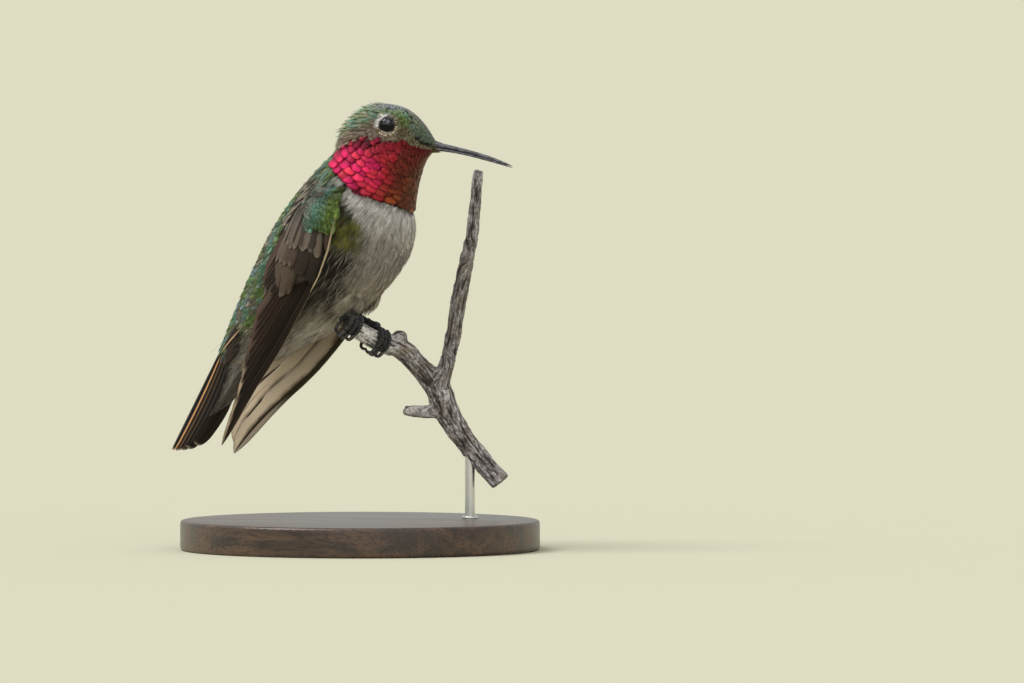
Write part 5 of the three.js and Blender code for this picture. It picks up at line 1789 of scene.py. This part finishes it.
def bark_finish():
    f = Finish("bark", Roughness=0.85)
    grain = f.attribute("grain")["Vector"]
    depth = f.attribute("depth")["Fac"]
    fibres = f.noise(3.2, 8.0, at=grain, Roughness=0.65)
    blotch = f.noise(260.0, 5.0)
    speck = f.noise(1600.0, 4.0)
    grey = f.mix(f.ramp(fibres, 0.38, 0.62), (0.110, 0.092, 0.084), (0.60, 0.56, 0.56))
    grey = f.mix(f.ramp(blotch, 0.45, 0.7), grey, (0.24, 0.19, 0.155))
    # the bark is painted paler towards the free end, painted light that offsets the bird's shadow there
    run = f.split(grain)[2]
    grey = f.mix(f.ramp(run, 4.6, 3.0, 0.0, 0.75), grey, (0.95, 0.90, 0.89))
    grey = f.mix(f.ramp(run, 20.0, 26.0, 0.0, 0.22), grey, (0.10, 0.08, 0.07))
    # painted shade: the deep creases go near black, partly the bark's own dark fissures, and so does the broken end,
    # marked deep for its painted shade
    grey = f.mix(f.ramp(depth, -0.02, -0.2), grey, (0.045, 0.035, 0.03))
    # the raised ridges are painted pale, partly weathered bark and partly painted highlight
    grey = f.mix(f.ramp(depth, 0.04, 0.2, 0.0, 0.7), grey, (0.72, 0.68, 0.69))
    f.colour(f.mix(f.ramp(speck, 0.35, 0.6, 0.7, 0.0), grey, (0.3, 0.28, 0.27), "MULTIPLY"))
    f.bump(f.math("ADD", fibres, f.math("MULTIPLY", speck, 0.4)), 0.7, 0.0004)
    return f.material


def wood_finish():
    f = Finish("stand wood", Roughness=0.4, Coat_Weight=0.3, Coat_Roughness=0.25)
    laid = f.stretched(1.0, 9.0, 9.0, turned=(0.0, 0.05, 0.5))
    figure = f.noise(26.0, 6.0, at=laid, Distortion=0.6)
    pores = f.noise(260.0, 3.0, at=laid)
    wood = f.mix(f.ramp(figure, 0.35, 0.68), (0.030, 0.016, 0.010), (0.095, 0.048, 0.026))
    f.colour(f.mix(f.ramp(pores, 0.5, 0.62), wood, (0.45, 0.42, 0.4), "MULTIPLY"))
    f.bump(pores, 0.12, 0.0002)
    f.set("Roughness", f.ramp(figure, 0.3, 0.8, 0.34, 0.5))
    return f.material


def metal_finish():
    f = Finish("stand metal", Roughness=0.3, Metallic=1.0)
    lines = f.noise(900.0, at=f.stretched(6.0, 6.0, 0.3))
    f.colour(f.mix(lines, (0.55, 0.54, 0.52), (0.75, 0.74, 0.72)))
    f.set("Roughness", f.ramp(lines, 0.3, 0.7, 0.22, 0.42))
    return f.material


def floor_finish():
    f = Finish("floor", Roughness=1.0, Specular_IOR_Level=0.0)
    f.shader.inputs["Base Color"].default_value = rgb(*FLOOR_COLOUR)
    return f.material


# ---- the studio


def make_studio():
    """A plain pale floor in soft, nearly even light from the upper left."""
    bpy.context.scene.view_settings.view_transform = "Standard"
    floor = primitive("floor", "plane", size=60, location=(0, 0, 0))
    floor.data.materials.append(floor_finish())
    world = bpy.data.worlds.new("studio")
    bpy.context.scene.world = world
    world.use_nodes = True
    sky = world.node_tree.nodes["Background"].inputs
    sky[0].default_value, sky[1].default_value = rgb(*SKY_COLOUR), SKY_STRENGTH
    for name, (azimuth, elevation, strength, size) in LAMPS.items():
        data = bpy.data.lights.new(name, "SUN")
        data.energy, data.angle = strength, math.radians(size)
        lamp = new_object(name, data)
        lamp.rotation_mode = "QUATERNION"
        lamp.rotation_quaternion = facing(azimuth, elevation).to_track_quat("Z", "Y")


# ---- assembly


def dress(piece, slot, finish, *nodes):
    """Gives a finished piece its body and its finish, and hides the CAD nodes that it stands for; the slot is not used.
    """
    piece.data.materials.append(finish)
    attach(piece, "root")
    if nodes:
        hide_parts(*nodes)


def dress_plumage(barbs):
    """The skin and every coat of feathers laid on it."""
    chart = body_chart()
    iridescent = plumage_finish(
        "gorget", barbs, rim_edge_and_shadow=(0.42, 0.30, 0.34), count=14.0, root_painted_shade=0.45, shaded=0.8, ridge=0.45,
        Metallic=0.3, Roughness=0.42, Specular_IOR_Level=0.2,
    )
    green = plumage_finish(
        "green feathers", barbs, rim_edge_and_shadow=(0.8, 0.78, 0.7), count=10.0, Metallic=0.15, Roughness=0.5,
        Specular_IOR_Level=0.25,
    )
    down = tuft_finish()
    dress(make_skin(chart), "breast_feathers", skin_finish(), *FLESH, "undertail_coverts", *LIMBS)
    dress(lay_gorget(chart), "gorget_feathers", iridescent)
    dress(lay_crown(chart), "crown_feathers", down)
    dress(lay_eye_ring(chart), "crown_feathers", down)
    for piece, finish in zip(lay_back(chart), (green, down)):
        dress(piece, "back_feathers", finish)
    dress(lay_scapulars(chart), "back_feathers", green)
    dress(lay_breast(chart, "breast_tufts", 11, (0.40, 0.66)), "breast_feathers", down)
    dress(lay_breast(chart, "belly_tufts", 12, (0.66, 0.97)), "breast_feathers", down)
    dress(lay_thighs(chart), "breast_feathers", down)
    dress(lay_undertail(), "breast_feathers", down)
    dress(lay_wing_coverts(), "back_feathers", green)


def dress_quills(barbs):
    """The wings' and the tail's flight feathers, with paler undersides."""
    wing = quill_finish(
        "wing quills", barbs, near=(0.012, 0.008, 0.005), far=(0.040, 0.026, 0.021), outer_web=(0.015, 0.009, 0.006),
        edge=(0.42, 0.33, 0.21), edge_width=0.14, shaft=(0.008, 0.005, 0.004), tip=(0.20, 0.15, 0.10),
        inner_tip=(0.36, 0.28, 0.19), Roughness=0.55, Specular_IOR_Level=0.15,
    )
    wing_beneath = quill_finish(
        "wing quills beneath", barbs, near=(0.130, 0.090, 0.050), far=(0.95, 0.79, 0.60),
        outer_web=(0.040, 0.034, 0.016), edge=(0.25, 0.22, 0.15), edge_width=0.10, shaft=(0.030, 0.018, 0.010),
        tip=(0.62, 0.53, 0.42), outer_tip=(0.52, 0.44, 0.34), fade=(0.06, 0.42), shaft_width=0.09, rooted=0.55,
        Roughness=0.6, Specular_IOR_Level=0.2,
    )
    tail = quill_finish(
        "tail quills", barbs, near=(0.012, 0.010, 0.007), far=(0.026, 0.021, 0.017), outer_web=(0.016, 0.012, 0.009),
        edge=(0.60, 0.31, 0.13), edge_width=0.34, shaft=(0.010, 0.007, 0.005), tip=(0.62, 0.54, 0.40), worn=0.986,
        Roughness=0.5, Specular_IOR_Level=0.15,
    )
    tail_beneath = quill_finish(
        "tail quills beneath", barbs, near=(0.022, 0.017, 0.012), far=(0.050, 0.038, 0.027),
        outer_web=(0.028, 0.020, 0.014), edge=(0.30, 0.15, 0.06), edge_width=0.2, shaft=(0.015, 0.010, 0.008),
        tip=(0.62, 0.54, 0.40), worn=0.986, Roughness=0.5, Specular_IOR_Level=0.2,
    )
    for piece, node in make_wings():
        dress(piece, "wing_quills", wing, node)
        piece.data.materials.append(wing_beneath)
    piece = make_tail()
    dress(piece, "tail_quills", tail, "tail")
    piece.data.materials.append(tail_beneath)


def dress_hard_parts():
    """The bill, the eyes and the feet."""
    bill = bill_finish()
    dress(make_bill(1), "bill_horn", bill, "bill_upper")
    dress(make_bill(-1), "bill_horn", bill, "bill_lower")
    eye, rim = eye_finish(), rim_finish()
    for side, node in ((RIGHT, "eye_right"), (LEFT, "eye_left")):
        ball, lid = make_eye(side)
        dress(ball, "eye_surface", eye, node)
        dress(lid, "leg_skin", rim)
    leg, claw = leg_finish(), claw_finish()
    for side in ("right", "left"):
        foot = [f"tarsus_{side}"] + [f"toe_{side}_{toe}" for toe in TOES]
        claws = [f"claw_{side}_{toe}" for toe in TOES]
        dress(refined(f"foot_{side}", *foot, plump=0.20, knobs=0.20), "leg_skin", leg, *foot)
        dress(refined(f"claws_{side}", *claws, plump=0.18), "claw_horn", claw, *claws)


def dress_stand():
    """The perch and the stand that holds it."""
    dress(make_perch(), "bark", bark_finish(), "perch_branch", "perch_twig")
    dress(make_base(), "stand_wood", wood_finish(), "stand_base")
    rod, ferrule = make_rod()
    metal = metal_finish()
    dress(rod, "stand_metal", metal, "stand_rod")
    dress(ferrule, "stand_metal", metal)


def main():
    bpy.ops.object.select_all(action="DESELECT")
    make_camera()
    make_studio()
    barbs = barb_group()
    dress_plumage(barbs)
    dress_quills(barbs)
    dress_hard_parts()
    dress_stand()


main()
